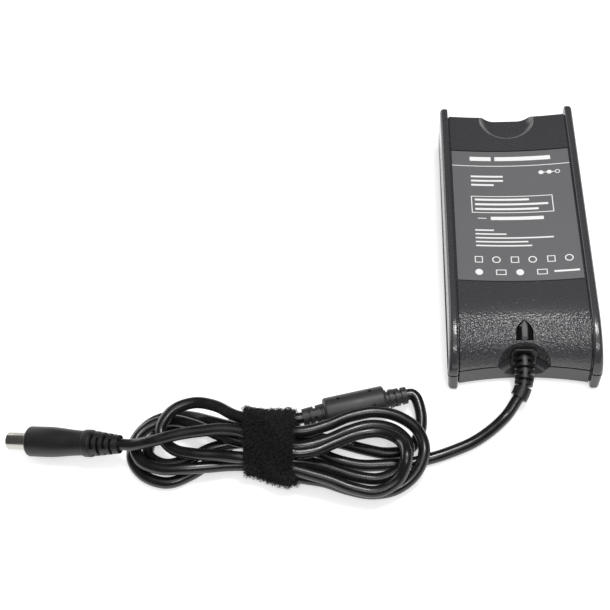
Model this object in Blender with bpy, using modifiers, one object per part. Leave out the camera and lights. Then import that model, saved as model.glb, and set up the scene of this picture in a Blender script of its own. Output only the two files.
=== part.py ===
"""Laptop power adapter with its bundled output lead, at real size in metres.

+Z is up and the adapter stands on its two side rails at z = 0. The mains inlet faces +Y, and
the lead leaves the nose towards -Y. It is gathered in a hank that a strap holds, passes a
ferrite choke on the way, and ends in a round plug towards -X.
"""

import math

import bmesh
import bpy
import numpy as np
from mathutils import Matrix, Vector

# Fits between pieces
GAP = 0.0003
WALL = 0.002
SIDE_WALL = 0.0026

# Housing: a saddle-topped core between two side rails
BRICK_WIDTH = 0.066
BRICK_LENGTH = 0.150
BRICK_HEIGHT = 0.028
PARTING_HEIGHT = 0.011
RAIL_WIDTH = 0.0046
RAIL_ROUND = 0.0009
RAIL_CORNER = 0.004
RAIL_NOSE_LENGTH = 0.0275
CORE_OVERLAP = 0.0006
COVER_DROP = 0.0009
COVER_HOLLOW = 0.00175
UNDERSIDE_HEIGHT = 0.0015
NOSE_SETBACK = 0.0024
NOSE_HOLLOW = 0.0028
NOSE_LENGTH = 0.027
NOSE_POWER = 2.3
TAIL_SETBACK = 0.0052
CORE_CORNER = 0.0026

# Label in its recess
LABEL_WIDTH = 0.055
LABEL_LENGTH = 0.079
LABEL_CENTRE_Y = 0.0053
LABEL_THICKNESS = 0.0005
LABEL_SINK = 0.0001
LABEL_MARGIN = 0.0003

# Thumb scoop above the inlet
SCOOP_RADIUS = 0.0112
SCOOP_FLARE = 0.0018
SCOOP_FROM_TAIL = 0.0058
SCOOP_DEPTH = 0.0032
SCOOP_TILT = math.radians(11)
SCOOP_FILLET = 0.001

# Round pocket in the nose, and the boot that stands in it
POCKET_RADIUS = 0.0124
POCKET_DEPTH = 0.0061
POCKET_BOTTOM = 0.0047
POCKET_FILLET = 0.003
BOOT_HEIGHT = 0.0116
COLLAR_WIDTH = 0.0106
COLLAR_HEIGHT = 0.0114
COLLAR_DEPTH = 0.0028
COLLAR_RIM = 0.0005
COLLAR_SINK = 0.0008
COLLAR_POWER = 7
NECK_WIDTH = 0.0088
NECK_POWER = 6
FLANGE_WIDTH = 0.0124
FLANGE_THICKNESS = 0.0016
BOOT_ROOT_RADIUS = 0.0047
BOOT_TIP_RADIUS = 0.0036
BOOT_ROWS = 5
BOOT_SLOT_DEPTH = 0.0009
BOOT_CUFF_LENGTH = 0.0034
BOOT_CUFF_RADIUS = 0.0041
BOOT_CUFF_ROUND = 0.0004
BOOT_TIP = (-0.0030, -0.0830, 0.0065)

# One row of a slotted boot: (share of the row's length, 1 where the slot is cut)
SLOT_ROW = ((0.08, 1), (0.36, 1), (0.46, 0), (0.94, 0))
BRIDGE_HALF_ANGLE = math.radians(17.5)

# Indicator window on the nose
WINDOW_WIDTH = 0.0068
WINDOW_LENGTH = 0.0083
WINDOW_STRAIGHT = 0.0028
WINDOW_ARCH_POWER = 1.9
WINDOW_FROM_POCKET = 0.0007
WINDOW_SINK = 0.0002
WINDOW_DEPTH = 0.0042
LAMP_DIAMETER = 0.0031

# Mains inlet: three round pins in a cloverleaf well
INLET_WIDTH = 0.023
INLET_HEIGHT = 0.0148
INLET_DEPTH = 0.019
INLET_CENTRE_Z = 0.0113
INLET_EDGE = 0.0006
WELL_DEPTH = 0.0135
WELL_LOBE_RADIUS = 0.0043
PIN_PITCH = 0.008
PIN_EARTH_RISE = 0.0049
PIN_DIAMETER = 0.0024
PIN_LENGTH = 0.0105
PIN_TAIL = 0.003

# Circuit board on the two ledges of the case
LEDGE_WIDTH = 0.003
LEDGE_HEIGHT = 0.0025
BOARD_THICKNESS = 0.0016
BOARD_SIDE_GAP = 0.0005
BOARD_END_GAP = 0.0006
WIRE_ROOM = 0.010
LANE_NOSE_ROOM = 0.012
SHEET_THICKNESS = 0.0004
HEAD_ROOM = 0.0006

# What stands on the board
TRANSFORMER_WIDTH = 0.024
TRANSFORMER_LENGTH = 0.024
TRANSFORMER_CORE_LENGTH = 0.016
TRANSFORMER_LEG = 0.0034
TRANSFORMER_YOKE = 0.003
TRANSFORMER_CENTRE_RADIUS = 0.0042
BULK_LENGTH = 0.031
OUTPUT_CAPACITOR_DIAMETER = 0.010
SINK_THICKNESS = 0.0016
SINK_FLANGE = 0.0062
PRIMARY_SINK_LENGTH = 0.028
SECONDARY_SINK_LENGTH = 0.024
TAB_SIZE = (0.0044, 0.0100, 0.0090)
CHOKE_COIL_DIAMETER = 0.0150
CHOKE_COIL_THICKNESS = 0.0050
X_CAPACITOR_SIZE = (0.017, 0.008, 0.012)
BRIDGE_SIZE = (0.015, 0.0038, 0.011)
FUSE_DIAMETER = 0.0084
FUSE_HEIGHT = 0.0075
VARISTOR_DIAMETER = 0.0090
VARISTOR_THICKNESS = 0.0036
Y_CAPACITOR_DIAMETER = 0.0072
Y_CAPACITOR_THICKNESS = 0.0032
OPTOCOUPLER_SIZE = (0.0046, 0.0065, 0.0034)
CONTROLLER_SIZE = (0.0040, 0.0050, 0.0016)
CHIP_EDGE = 0.0003
BLOCK_EDGE = 0.0005
WIRE_DIAMETER = 0.0013
WIRE_BEND = 0.0018

# Cord, and the route of its free stretch from the boot to the hank
CORD_DIAMETER = 0.005
FREE_POINT_PITCH = 0.009
LEAD_ROUTE = (
    (-0.0084, -0.0899, 0.0030),
    (-0.0156, -0.0972, 0.0027),
    (-0.0236, -0.1031, 0.0027),
    (-0.0324, -0.1073, 0.0027),
    (-0.0388, -0.1098, 0.0027),
    (-0.0436, -0.1112, 0.0027),
)

# Hank: nine passes through the strap, joined by four turns at each end
WAIST_X = (-0.1180, -0.0970)
WAIST_FLOOR = 0.0048
CORD_FLOOR = 0.0027
HANK_POINTS = 116
HANK_GAP = 0.0007
HANK_SETTLING_STEPS = 800
HANK_STIFFNESS = 0.35
HANK_NEIGHBOURS = 3

# The passes at the waist, in order along the cord: (y, z) at its right and at its left edge
PASSES = (
    ((-0.1068, 0.0048), (-0.1064, 0.0048)),
    ((-0.0985, 0.0098), (-0.0975, 0.0098)),
    ((-0.1012, 0.0048), (-0.1008, 0.0048)),
    ((-0.1040, 0.0098), (-0.1030, 0.0098)),
    ((-0.1178, 0.0048), (-0.1120, 0.0048)),
    ((-0.1095, 0.0098), (-0.1085, 0.0098)),
    ((-0.1122, 0.0048), (-0.1142, 0.0098)),
    ((-0.1150, 0.0101), (-0.1002, 0.0149)),
    ((-0.1205, 0.0098), (-0.1062, 0.0149)),
)

# The turns: (x of the tip, depth of the bend, back y, front y, back z, tip z, front z)
LEFT_TURNS = (
    (-0.1622, 0.012, -0.0975, -0.1166, 0.0027, 0.0027, 0.0027),
    (-0.1679, 0.017, -0.0917, -0.1226, 0.0027, 0.0027, 0.0027),
    (-0.1672, 0.015, -0.0945, -0.1165, 0.0080, 0.0080, 0.0075),
    (-0.1553, 0.017, -0.0902, -0.1125, 0.0125, 0.0095, 0.0085),
)
RIGHT_TURNS = (
    (-0.0450, 0.012, -0.0840, -0.1085, 0.0069, 0.0035, 0.0028),
    (-0.0458, 0.020, -0.0920, -0.1255, 0.0090, 0.0090, 0.0035),
    (-0.0502, 0.015, -0.0974, -0.1200, 0.0090, 0.0095, 0.0035),
    (-0.0506, 0.014, -0.1032, -0.1286, 0.0100, 0.0145, 0.0060),
)
HANK_ENTRY = (
    (-0.0600, -0.1140, 0.0027),
    (-0.0750, -0.1142, 0.0027),
)
HANK_EXIT = (
    (-0.1280, -0.1050, 0.0146),
    (-0.1390, -0.1061, 0.0148),
    (-0.1490, -0.1076, 0.0146),
    (-0.1570, -0.1096, 0.0146),
)

# Ferrite choke, on the stretch from the second pass to the first right turn
CHOKED_PASS = 1
CHOKE_ENDS = ((-0.0860, -0.0905, 0.0069), (-0.0600, -0.0840, 0.0069))
CHOKE_RADIUS = 0.0063
CHOKE_ROUND = 0.0012
CHOKE_BOOT_LENGTH = 0.0095
CHOKE_BOOT_RADIUS = 0.0042
CHOKE_BOOT_ROWS = 3
CHOKE_SLOT_DEPTH = 0.0007
CHOKE_BORE_RADIUS = 0.0029
CHOKE_POCKET_RADIUS = 0.0051
CHOKE_POCKET_END = 0.0032
CORE_WALL = 0.0012

# Strap
STRAP_CLEARANCE = 0.0004
STRAP_THICKNESS = 0.0016

# Plug
PLUG_TIP = (-0.2226, -0.1028, 0.0054)
PLUG_DIRECTION = (0.984, -0.126, 0.146)
BARREL_DIAMETER = 0.0074
BARREL_WALL = 0.0004
BARREL_SHOWN = 0.0098
BARREL_SUNK = 0.0110
SLEEVE_GAP = 0.00015
INSULATOR_WALL = 0.0003
CONTACT_WALL = 0.0003
SLEEVE_SINK = 0.0006
PLUG_PIN_DIAMETER = 0.0008
PLUG_DIAMETER = 0.013
PLUG_LENGTH = 0.0264
PLUG_STRAIGHT_SHARE = 0.35
PLUG_END_DIAMETER = 0.0106
PLUG_RING_DIAMETER = 0.0117
PLUG_RING_LENGTH = 0.0036
PLUG_BOOT_LENGTH = 0.013
PLUG_BOOT_ROWS = 4
PLUG_BOOT_END_DIAMETER = 0.0082
PLUG_SLOT_DEPTH = 0.0012
PLUG_ROUND = 0.0008

# Fineness of the curved forms
SMOOTH_ANGLE = math.radians(32)
ROUND_STEPS = 24
DISC_STEPS = 16
LAMP_STEPS = 12
COIL_SIDES = 12
NOSE_STEPS = 8
CORNER_STEPS = 3
RAIL_ROUND_STEPS = 2
CORE_STATIONS = 15
CAVITY_STATIONS = 11
POCKET_SIDES = 50
FILLET_STEPS = 4
SCOOP_SIDES = 40
LABEL_STATIONS = 9
WINDOW_STEPS = 7
WIRE_STEPS = 4
PLUG_TAPER_STEPS = 6
BOOT_SIDES = 16
BOOT_PATH_STEPS = 40
ROUTE_SAMPLES = 10
TURN_POINTS = 8
STRAP_SIDES = 30
STRAP_STATIONS = 8

# Worked out from the sizes above
HALF_WIDTH = BRICK_WIDTH / 2
HALF_LENGTH = BRICK_LENGTH / 2
RAIL_INNER = HALF_WIDTH - RAIL_WIDTH
CORD_RADIUS = CORD_DIAMETER / 2
TAIL_Y = HALF_LENGTH - TAIL_SETBACK
NOSE_Y = -HALF_LENGTH + NOSE_SETBACK + NOSE_HOLLOW
POCKET_BACK_Y = NOSE_Y + POCKET_DEPTH
POCKET_CENTRE_Y = POCKET_BACK_Y - POCKET_RADIUS
POCKET_WALL_Y = POCKET_BACK_Y + WALL
COLLAR_BACK_Y = POCKET_CENTRE_Y + math.sqrt((POCKET_RADIUS - GAP) ** 2 - (COLLAR_WIDTH / 2) ** 2)
COLLAR_FRONT_Y = COLLAR_BACK_Y - COLLAR_DEPTH
FLANGE_BACK_Y = POCKET_WALL_Y + GAP + FLANGE_THICKNESS
LAMP_Y = FLANGE_BACK_Y + GAP + LAMP_DIAMETER / 2
COVER_EDGE = BRICK_HEIGHT - COVER_DROP
CEILING = COVER_EDGE - COVER_HOLLOW - WALL
CASE_FLOOR = UNDERSIDE_HEIGHT + WALL
CAVITY_HALF_WIDTH = HALF_WIDTH - SIDE_WALL
LEDGE_TOP = CASE_FLOOR + LEDGE_HEIGHT
BOARD_BOTTOM = LEDGE_TOP + GAP
BOARD_TOP = BOARD_BOTTOM + BOARD_THICKNESS
SEAT = BOARD_TOP + GAP
ROOM = CEILING - HEAD_ROOM - SEAT
BOARD_HALF_WIDTH = CAVITY_HALF_WIDTH - BOARD_SIDE_GAP
INLET_BACK_Y = TAIL_Y - INLET_DEPTH
PIN_TAIL_Y = INLET_BACK_Y - PIN_TAIL
BOARD_Y = (FLANGE_BACK_Y + BOARD_END_GAP, PIN_TAIL_Y - BOARD_END_GAP)
WINDOW_BASE_Y = POCKET_BACK_Y + WINDOW_FROM_POCKET
PLUG_AXIS = Vector(PLUG_DIRECTION).normalized()
PLUG_END = PLUG_LENGTH + PLUG_RING_LENGTH + PLUG_BOOT_LENGTH


# ---------------------------------------------------------------- scene, finishes, helpers

for old in list(bpy.data.objects):
    bpy.data.objects.remove(old)

PARTS = bpy.data.collections.new("laptop_power_adapter")
CUTTERS = bpy.data.collections.new("cutters")
bpy.context.scene.collection.children.link(PARTS)
bpy.context.scene.collection.children.link(CUTTERS)


def finish(name, colour, roughness, metallic=0.0):
    """A Principled material of one colour."""
    material = bpy.data.materials.new(name)
    material.use_nodes = True
    shader = material.node_tree.nodes["Principled BSDF"]
    shader.inputs["Base Color"].default_value = (*colour, 1.0)
    shader.inputs["Roughness"].default_value = roughness
    shader.inputs["Metallic"].default_value = metallic
    material.diffuse_color = (*colour, 1.0)
    return material


def add_part(name, data, material):
    """A visible sub-part in its finish."""
    part = bpy.data.objects.new(name, data)
    data.materials.append(material)
    PARTS.objects.link(part)
    return part


def add_cutter(name, data):
    """A shape that only cuts or joins: it stays out of the render."""
    cutter = bpy.data.objects.new(name, data)
    CUTTERS.objects.link(cutter)
    cutter.hide_render = True
    cutter.display_type = "WIRE"
    return cutter


def mesh_from(name, shape):
    """The mesh of a bmesh, with its normals turned outwards."""
    bmesh.ops.recalc_face_normals(shape, faces=shape.faces)
    mesh = bpy.data.meshes.new(name)
    shape.to_mesh(mesh)
    shape.free()
    return mesh


def box(name, low, high, bevel=0.0):
    """A box between two corners, with its edges bevelled."""
    shape = bmesh.new()
    bmesh.ops.create_cube(shape, size=1.0)
    size = Vector(high) - Vector(low)
    bmesh.ops.scale(shape, vec=size, verts=shape.verts)
    bmesh.ops.translate(shape, vec=(Vector(low) + Vector(high)) / 2, verts=shape.verts)
    if bevel:
        edges = shape.edges[:]
        bmesh.ops.bevel(shape, geom=edges, offset=bevel, segments=2, affect="EDGES", profile=0.5)
    return mesh_from(name, shape)


def standing_box(name, centre, size, bevel=0.0):
    """A box of this size that stands on the board at (x, y)."""
    x, y = centre
    wide, long, tall = size
    low = (x - wide / 2, y - long / 2, SEAT)
    high = (x + wide / 2, y + long / 2, SEAT + tall)
    return box(name, low, high, bevel)


def loft(name, rings, closed=False):
    """A skin over rings of equally many points, capped at both ends or joined into a loop."""
    shape = bmesh.new()
    rows = [[shape.verts.new(point) for point in ring] for ring in rings]
    pairs = list(zip(rows, rows[1:]))
    if closed:
        pairs.append((rows[-1], rows[0]))
    else:
        shape.faces.new(rows[0])
        shape.faces.new(rows[-1])
    for first, second in pairs:
        for i in range(len(first)):
            j = (i + 1) % len(first)
            shape.faces.new((first[i], first[j], second[j], second[i]))
    return mesh_from(name, shape)


def turned(name, profile, ring=False):
    """A mesh profile of (radius, height), run top to bottom, for a Screw modifier about Z."""
    mesh = bpy.data.meshes.new(name)
    edges = [(i, i + 1) for i in range(len(profile) - 1)]
    if ring:
        edges.append((len(profile) - 1, 0))
    mesh.from_pydata([(radius, 0.0, height) for radius, height in profile], edges, [])
    return mesh


def spin(part, steps=ROUND_STEPS):
    """Turns a part's profile about its Z axis."""
    screw = part.modifiers.new("turn", "SCREW")
    screw.axis = "Z"
    screw.steps = steps
    screw.render_steps = steps
    screw.use_merge_vertices = True
    screw.merge_threshold = 0.00001
    screw.use_smooth_shade = False
    return part


def drum(radius, low, high, edge=0.0):
    """The profile of a solid drum, with a small chamfer at both edges."""
    upper = [(0, high), (radius - edge, high), (radius, high - edge)]
    lower = [(radius, low + edge), (radius - edge, low), (0, low)]
    return upper + lower


def pipe(outer, inner, low, high):
    """The closed profile of a plain pipe."""
    return [(outer, high), (outer, low), (inner, low), (inner, high)]


def stand(part, location, direction=(0, 0, 1)):
    """Puts a part's origin somewhere, with its Z axis along a direction."""
    turn = Vector(direction).to_track_quat("Z", "Y").to_matrix().to_4x4()
    part.matrix_world = Matrix.Translation(location) @ turn
    return part


def boolean(part, other, operation):
    """Cuts a part with another shape, joins them, or keeps what they share."""
    modifier = part.modifiers.new(operation.lower() + "_" + other.name, "BOOLEAN")
    modifier.operation = operation
    modifier.solver = "EXACT"
    modifier.object = other
    return part


def solid_mesh(source, name):
    """The evaluated mesh of an object in world space, with the doubles of its caps welded."""
    bpy.context.view_layer.update()
    graph = bpy.context.evaluated_depsgraph_get()
    mesh = bpy.data.meshes.new_from_object(source.evaluated_get(graph))
    mesh.transform(source.matrix_world)
    shape = bmesh.new()
    shape.from_mesh(mesh)
    bmesh.ops.remove_doubles(shape, verts=shape.verts, dist=0.000001)
    shape.to_mesh(mesh)
    shape.free()
    mesh.name = name
    return mesh


def smooth_step(u):
    return u * u * (3 - 2 * u)


def smooth_curve(points, count):
    """Points at equal steps along a centripetal Catmull-Rom curve through a route's points."""
    route = np.array(points, float)
    route = np.vstack([2 * route[0] - route[1], route, 2 * route[-1] - route[-2]])
    fine = []
    for a, b, c, d in zip(route, route[1:], route[2:], route[3:]):
        t1 = np.linalg.norm(b - a) ** 0.5
        t2 = t1 + np.linalg.norm(c - b) ** 0.5
        t3 = t2 + np.linalg.norm(d - c) ** 0.5
        for t in np.linspace(t1, t2, ROUTE_SAMPLES, endpoint=False):
            ab = (t1 - t) / t1 * a + t / t1 * b
            bc = (t2 - t) / (t2 - t1) * b + (t - t1) / (t2 - t1) * c
            cd = (t3 - t) / (t3 - t2) * c + (t - t2) / (t3 - t2) * d
            abc = (t2 - t) / t2 * ab + t / t2 * bc
            bcd = (t3 - t) / (t3 - t1) * bc + (t - t1) / (t3 - t1) * cd
            fine.append((t2 - t) / (t2 - t1) * abc + (t - t1) / (t2 - t1) * bcd)
    fine.append(route[-2])
    return even_steps(np.array(fine), count)


def even_steps(path, count):
    """The same path with this many points, at equal distances along it."""
    lengths = np.concatenate([[0], np.cumsum(np.linalg.norm(np.diff(path, axis=0), axis=1))])
    marks = np.linspace(0, lengths[-1], count)
    return np.stack([np.interp(marks, lengths, path[:, axis]) for axis in range(3)], axis=1)


def tube(name, points, radius, material, resolution=2):
    """A cord or wire: a straight-segmented curve with a round bevel and closed ends."""
    curve = bpy.data.curves.new(name, "CURVE")
    curve.dimensions = "3D"
    curve.bevel_depth = radius
    curve.bevel_resolution = resolution
    curve.use_fill_caps = True
    spline = curve.splines.new("POLY")
    spline.points.add(len(points) - 1)
    for point, place in zip(spline.points, points):
        point.co = (*place, 1.0)
    return add_part(name, curve, material)


def slot_depth(angle, cut, row):
    """How far a boot is cut in at an angle: a row has two slots, which sit a quarter turn on
    from those of the row before, with a bridge between them."""
    off_bridge = abs(math.sin(angle - row * math.pi / 2)) > math.sin(BRIDGE_HALF_ANGLE)
    return cut if off_bridge else 0.0


def ring_points(centre, along, radius, sides, cut=0.0, row=0):
    """A ring square to a direction, with a slotted boot's cuts."""
    along = Vector(along).normalized()
    side = along.cross(Vector((0, 0, 1)))
    side = side.normalized() if side.length > 0.001 else Vector((1, 0, 0))
    up = side.cross(along)
    points = []
    for k in range(sides):
        angle = 2 * math.pi * (k + 0.5) / sides
        reach = radius - slot_depth(angle, cut, row)
        points.append(Vector(centre) + (side * math.cos(angle) + up * math.sin(angle)) * reach)
    return points


def square_points(y, half_width, half_height, power, sides):
    """An upright ring across the boot's collar: a square, with corners rounder for a lower power."""
    points = []
    for k in range(sides):
        angle = 2 * math.pi * (k + 0.5) / sides
        across = math.cos(angle)
        rise = math.sin(angle)
        x = -math.copysign(abs(across) ** (2 / power), across) * half_width
        z = math.copysign(abs(rise) ** (2 / power), rise) * half_height
        points.append((x, y, BOOT_HEIGHT + z))
    return points


def slotted_loft(name, stations, closed=False):
    """A round form about Z over (distance, radius, cut, row) stations, slotted where it is cut."""
    rings = []
    for distance, radius, cut, row in stations:
        rings.append(ring_points((0, 0, distance), (0, 0, 1), radius, ROUND_STEPS, cut, row))
    return loft(name, rings, closed)


def spread(low, high, sizes):
    """The middles of sizes laid out between two ends with equal gaps, also at the ends."""
    gap = (high - low - sum(sizes)) / (len(sizes) + 1)
    middles = []
    edge = low
    for size in sizes:
        middles.append(edge + gap + size / 2)
        edge += gap + size
    return middles


# ---------------------------------------------------------------- housing


def cover_height(x):
    """Height of the saddle-shaped top: it is hollow across the width."""
    across = min(abs(x) / RAIL_INNER, 1.0)
    return COVER_EDGE - COVER_HOLLOW * (1 - across**2)


def nose_front(x):
    """y of the nose's foremost point: its plan is hollow too."""
    across = min(abs(x) / RAIL_INNER, 1.0)
    return NOSE_Y - NOSE_HOLLOW * across**2


def side_outline(front, back, bottom, top, nose, corner, inset=0.0):
    """(y, z) of the housing seen from the side: its nose, and its three rounded corners."""
    middle = front + nose
    reach = nose - inset
    rise = top - inset - PARTING_HEIGHT
    points = []
    for angle in np.linspace(0, math.pi / 2, NOSE_STEPS + 1):
        y = middle - reach * max(math.cos(angle), 0.0) ** (2 / NOSE_POWER)
        z = PARTING_HEIGHT + rise * math.sin(angle) ** (2 / NOSE_POWER)
        points.append((y, z))
    radius = max(corner - inset, corner / 4)
    corners = (
        (back - inset - radius, top - inset - radius, 90),
        (back - inset - radius, bottom + inset + radius, 0),
        (front + inset + radius, bottom + inset + radius, -90),
    )
    for y, z, start in corners:
        for angle in np.radians(np.linspace(start, start - 90, CORNER_STEPS + 1)):
            points.append((y + radius * math.cos(angle), z + radius * math.sin(angle)))
    return points


def core_loft(name, inset, half_width, stations=CORE_STATIONS):
    """The housing's core, or the same form drawn in by an inset."""
    rings = []
    for x in np.linspace(-half_width, half_width, stations):
        outline = side_outline(
            nose_front(x), TAIL_Y, UNDERSIDE_HEIGHT, cover_height(x), NOSE_LENGTH, CORE_CORNER, inset
        )
        rings.append([(x, y, z) for y, z in outline])
    return loft(name, rings)


def rail_loft(name, side):
    """A side rail: the housing's side outline, a little larger, with both faces rounded over."""
    rings = []
    for face, turn in ((RAIL_INNER, 1), (HALF_WIDTH, -1)):
        for angle in np.linspace(0, math.pi / 2, RAIL_ROUND_STEPS + 1)[::turn]:
            x = face + turn * RAIL_ROUND * (1 - math.cos(angle))
            inset = RAIL_ROUND * (1 - math.sin(angle))
            outline = side_outline(
                -HALF_LENGTH, HALF_LENGTH, 0.0, BRICK_HEIGHT, RAIL_NOSE_LENGTH, RAIL_CORNER, inset
            )
            rings.append([(side * x, y, z) for y, z in outline])
    return loft(name, rings)


def pocket_drum(name, grow, fillet):
    """The pocket round the boot: an upright drum that bites into the nose, with a round foot."""
    radius = POCKET_RADIUS + grow
    bottom = POCKET_BOTTOM - 2 * grow
    profile = [(0, BRICK_HEIGHT + WALL), (radius, BRICK_HEIGHT + WALL)]
    for angle in np.linspace(0, math.pi / 2, FILLET_STEPS + 1):
        across = radius - fillet * (1 - math.cos(angle))
        profile.append((across, bottom + fillet * (1 - math.sin(angle))))
    if not fillet:
        profile = [*profile[:2], (radius, bottom)]
    profile.append((0, bottom))
    drum_cutter = spin(add_cutter(name, turned(name, profile)), POCKET_SIDES)
    return stand(drum_cutter, (0, POCKET_CENTRE_Y, 0))


def scoop_cone(name, grow):
    """The thumb scoop: a drafted disc, tilted so that its floor falls towards the inlet."""
    height = SCOOP_DEPTH + 3 * WALL
    shape = bmesh.new()
    bmesh.ops.create_cone(
        shape,
        cap_ends=True,
        segments=SCOOP_SIDES,
        radius1=SCOOP_RADIUS + grow,
        radius2=SCOOP_RADIUS + grow + SCOOP_FLARE * height / SCOOP_DEPTH,
        depth=height,
    )
    bmesh.ops.translate(shape, vec=(0, 0, height / 2), verts=shape.verts)
    rim = [edge for edge in shape.edges if all(vert.co.z < height / 2 for vert in edge.verts)]
    bmesh.ops.bevel(shape, geom=rim, offset=SCOOP_FILLET, segments=2, affect="EDGES", profile=0.5)
    floor = (0, TAIL_Y - SCOOP_FROM_TAIL, cover_height(0) - SCOOP_DEPTH - grow)
    place = Matrix.Translation(floor) @ Matrix.Rotation(-SCOOP_TILT, 4, "X")
    bmesh.ops.transform(shape, matrix=place, verts=shape.verts)
    return mesh_from(name, shape)


def label_loft(name, width, length, top, bottom):
    """A sheet that follows the hollow of the cover, between two depths below it."""
    rings = []
    low_y = LABEL_CENTRE_Y - length / 2
    high_y = LABEL_CENTRE_Y + length / 2
    for x in np.linspace(-width / 2, width / 2, LABEL_STATIONS):
        height = cover_height(x)
        rings.append(
            [
                (x, low_y, height - bottom),
                (x, high_y, height - bottom),
                (x, high_y, height - top),
                (x, low_y, height - top),
            ]
        )
    return loft(name, rings)


def window_prism(name, grow, bottom, top):
    """The indicator window, a pointed arch seen from above, between two levels."""
    half = WINDOW_WIDTH / 2 + grow
    spring = WINDOW_BASE_Y + WINDOW_STRAIGHT
    rise = WINDOW_LENGTH - WINDOW_STRAIGHT + grow
    right = [(half, WINDOW_BASE_Y - grow)]
    for u in np.linspace(0, 1, WINDOW_STEPS + 1):
        right.append((half * (1 - u**WINDOW_ARCH_POWER), spring + rise * u))
    outline = right + [(-x, y) for x, y in right[-2::-1]]
    return loft(name, [[(x, y, z) for x, y in outline] for z in (bottom, top)])


def housing_mesh():
    """Both shells in one: the core and its rails, hollowed, with every opening cut."""
    housing = add_cutter("housing", core_loft("housing", 0.0, RAIL_INNER + CORE_OVERLAP))
    for side, name in ((1, "right_rail"), (-1, "left_rail")):
        boolean(housing, add_cutter(name, rail_loft(name, side)), "UNION")
    cavity = core_loft("cavity", WALL, CAVITY_HALF_WIDTH, CAVITY_STATIONS)
    cavity = add_cutter("cavity", cavity)
    boolean(cavity, pocket_drum("pocket_walls", WALL, 0.0), "DIFFERENCE")
    boolean(cavity, add_cutter("scoop_wall", scoop_cone("scoop_wall", WALL)), "DIFFERENCE")
    boolean(housing, cavity, "DIFFERENCE")
    boolean(housing, pocket_drum("nose_pocket", 0.0, POCKET_FILLET), "DIFFERENCE")
    recess_width = LABEL_WIDTH + 2 * LABEL_MARGIN
    recess_length = LABEL_LENGTH + 2 * LABEL_MARGIN
    recess_depth = LABEL_SINK + LABEL_THICKNESS + GAP
    half_inlet = INLET_WIDTH / 2 + GAP
    tall_inlet = INLET_HEIGHT / 2 + GAP
    inlet_low = (-half_inlet, TAIL_Y - 2 * WALL, INLET_CENTRE_Z - tall_inlet)
    inlet_high = (half_inlet, HALF_LENGTH, INLET_CENTRE_Z + tall_inlet)
    half_neck = NECK_WIDTH / 2 + GAP
    neck_low = (-half_neck, POCKET_BACK_Y - WALL, BOOT_HEIGHT - half_neck)
    neck_high = (half_neck, POCKET_WALL_Y + WALL, BOOT_HEIGHT + half_neck)
    window_low = CEILING - WINDOW_DEPTH - WALL
    openings = (
        ("thumb_scoop", scoop_cone("thumb_scoop", 0.0)),
        ("label_recess", label_loft("recess", recess_width, recess_length, -WALL, recess_depth)),
        ("inlet_opening", box("inlet_opening", inlet_low, inlet_high)),
        ("neck_opening", box("neck_opening", neck_low, neck_high)),
        ("window_opening", window_prism("opening", GAP, window_low, BRICK_HEIGHT + WALL)),
    )
    for name, mesh in openings:
        boolean(housing, add_cutter(name, mesh), "DIFFERENCE")
    return solid_mesh(housing, "housing_solid")


def shells(material):
    """The top cover and the bottom case, parted at one level, the case with its board ledges."""
    housing = housing_mesh()
    reach = BRICK_LENGTH
    cover = add_part("top_cover", housing, material)
    below = box("below_parting", (-reach, -reach, -reach), (reach, reach, PARTING_HEIGHT + GAP / 2))
    boolean(cover, add_cutter("below_parting", below), "DIFFERENCE")
    case = add_part("bottom_case", housing.copy(), material)
    above = box("above_parting", (-reach, -reach, PARTING_HEIGHT - GAP / 2), (reach, reach, reach))
    boolean(case, add_cutter("above_parting", above), "DIFFERENCE")
    for side, name in ((1, "right_ledge"), (-1, "left_ledge")):
        inner = side * (CAVITY_HALF_WIDTH - LEDGE_WIDTH)
        outer = side * (CAVITY_HALF_WIDTH + GAP)
        low = (min(inner, outer), BOARD_Y[0] + RAIL_WIDTH, CASE_FLOOR - GAP)
        high = (max(inner, outer), BOARD_Y[1] - RAIL_WIDTH, LEDGE_TOP)
        boolean(case, add_cutter(name, box(name, low, high)), "UNION")


def label(material):
    """A thin sheet in its recess, hollow like the cover."""
    bottom = LABEL_SINK + LABEL_THICKNESS
    sheet = label_loft("rating_label", LABEL_WIDTH, LABEL_LENGTH, LABEL_SINK, bottom)
    add_part("rating_label", sheet, material)


def indicator(lens_material, lamp_material):
    """The clear window that follows the nose, and the lamp on the board below it."""
    bottom = CEILING - WINDOW_DEPTH
    prism = window_prism("led_window", 0.0, bottom, BRICK_HEIGHT)
    lens = add_part("led_window", prism, lens_material)
    skin = add_cutter("nose_skin", core_loft("nose_skin", WINDOW_SINK, RAIL_INNER))
    boolean(lens, skin, "INTERSECT")
    radius = LAMP_DIAMETER / 2
    height = bottom - GAP - SEAT
    dome = [(0, height), (radius * 0.7, height - radius * 0.3), (radius, height - radius)]
    lamp = turned("indicator_lamp", dome + [(radius, 0), (0, 0)])
    lamp = spin(add_part("indicator_lamp", lamp, lamp_material), LAMP_STEPS)
    stand(lamp, (0, LAMP_Y, SEAT))


# ---------------------------------------------------------------- mains inlet


def pin_places():
    """(name, x, z) of the line, neutral and earth pins."""
    low = INLET_CENTRE_Z - PIN_EARTH_RISE / 2
    return (
        ("inlet_pin_line", PIN_PITCH / 2, low),
        ("inlet_pin_neutral", -PIN_PITCH / 2, low),
        ("inlet_pin_earth", 0.0, low + PIN_EARTH_RISE),
    )


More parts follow.
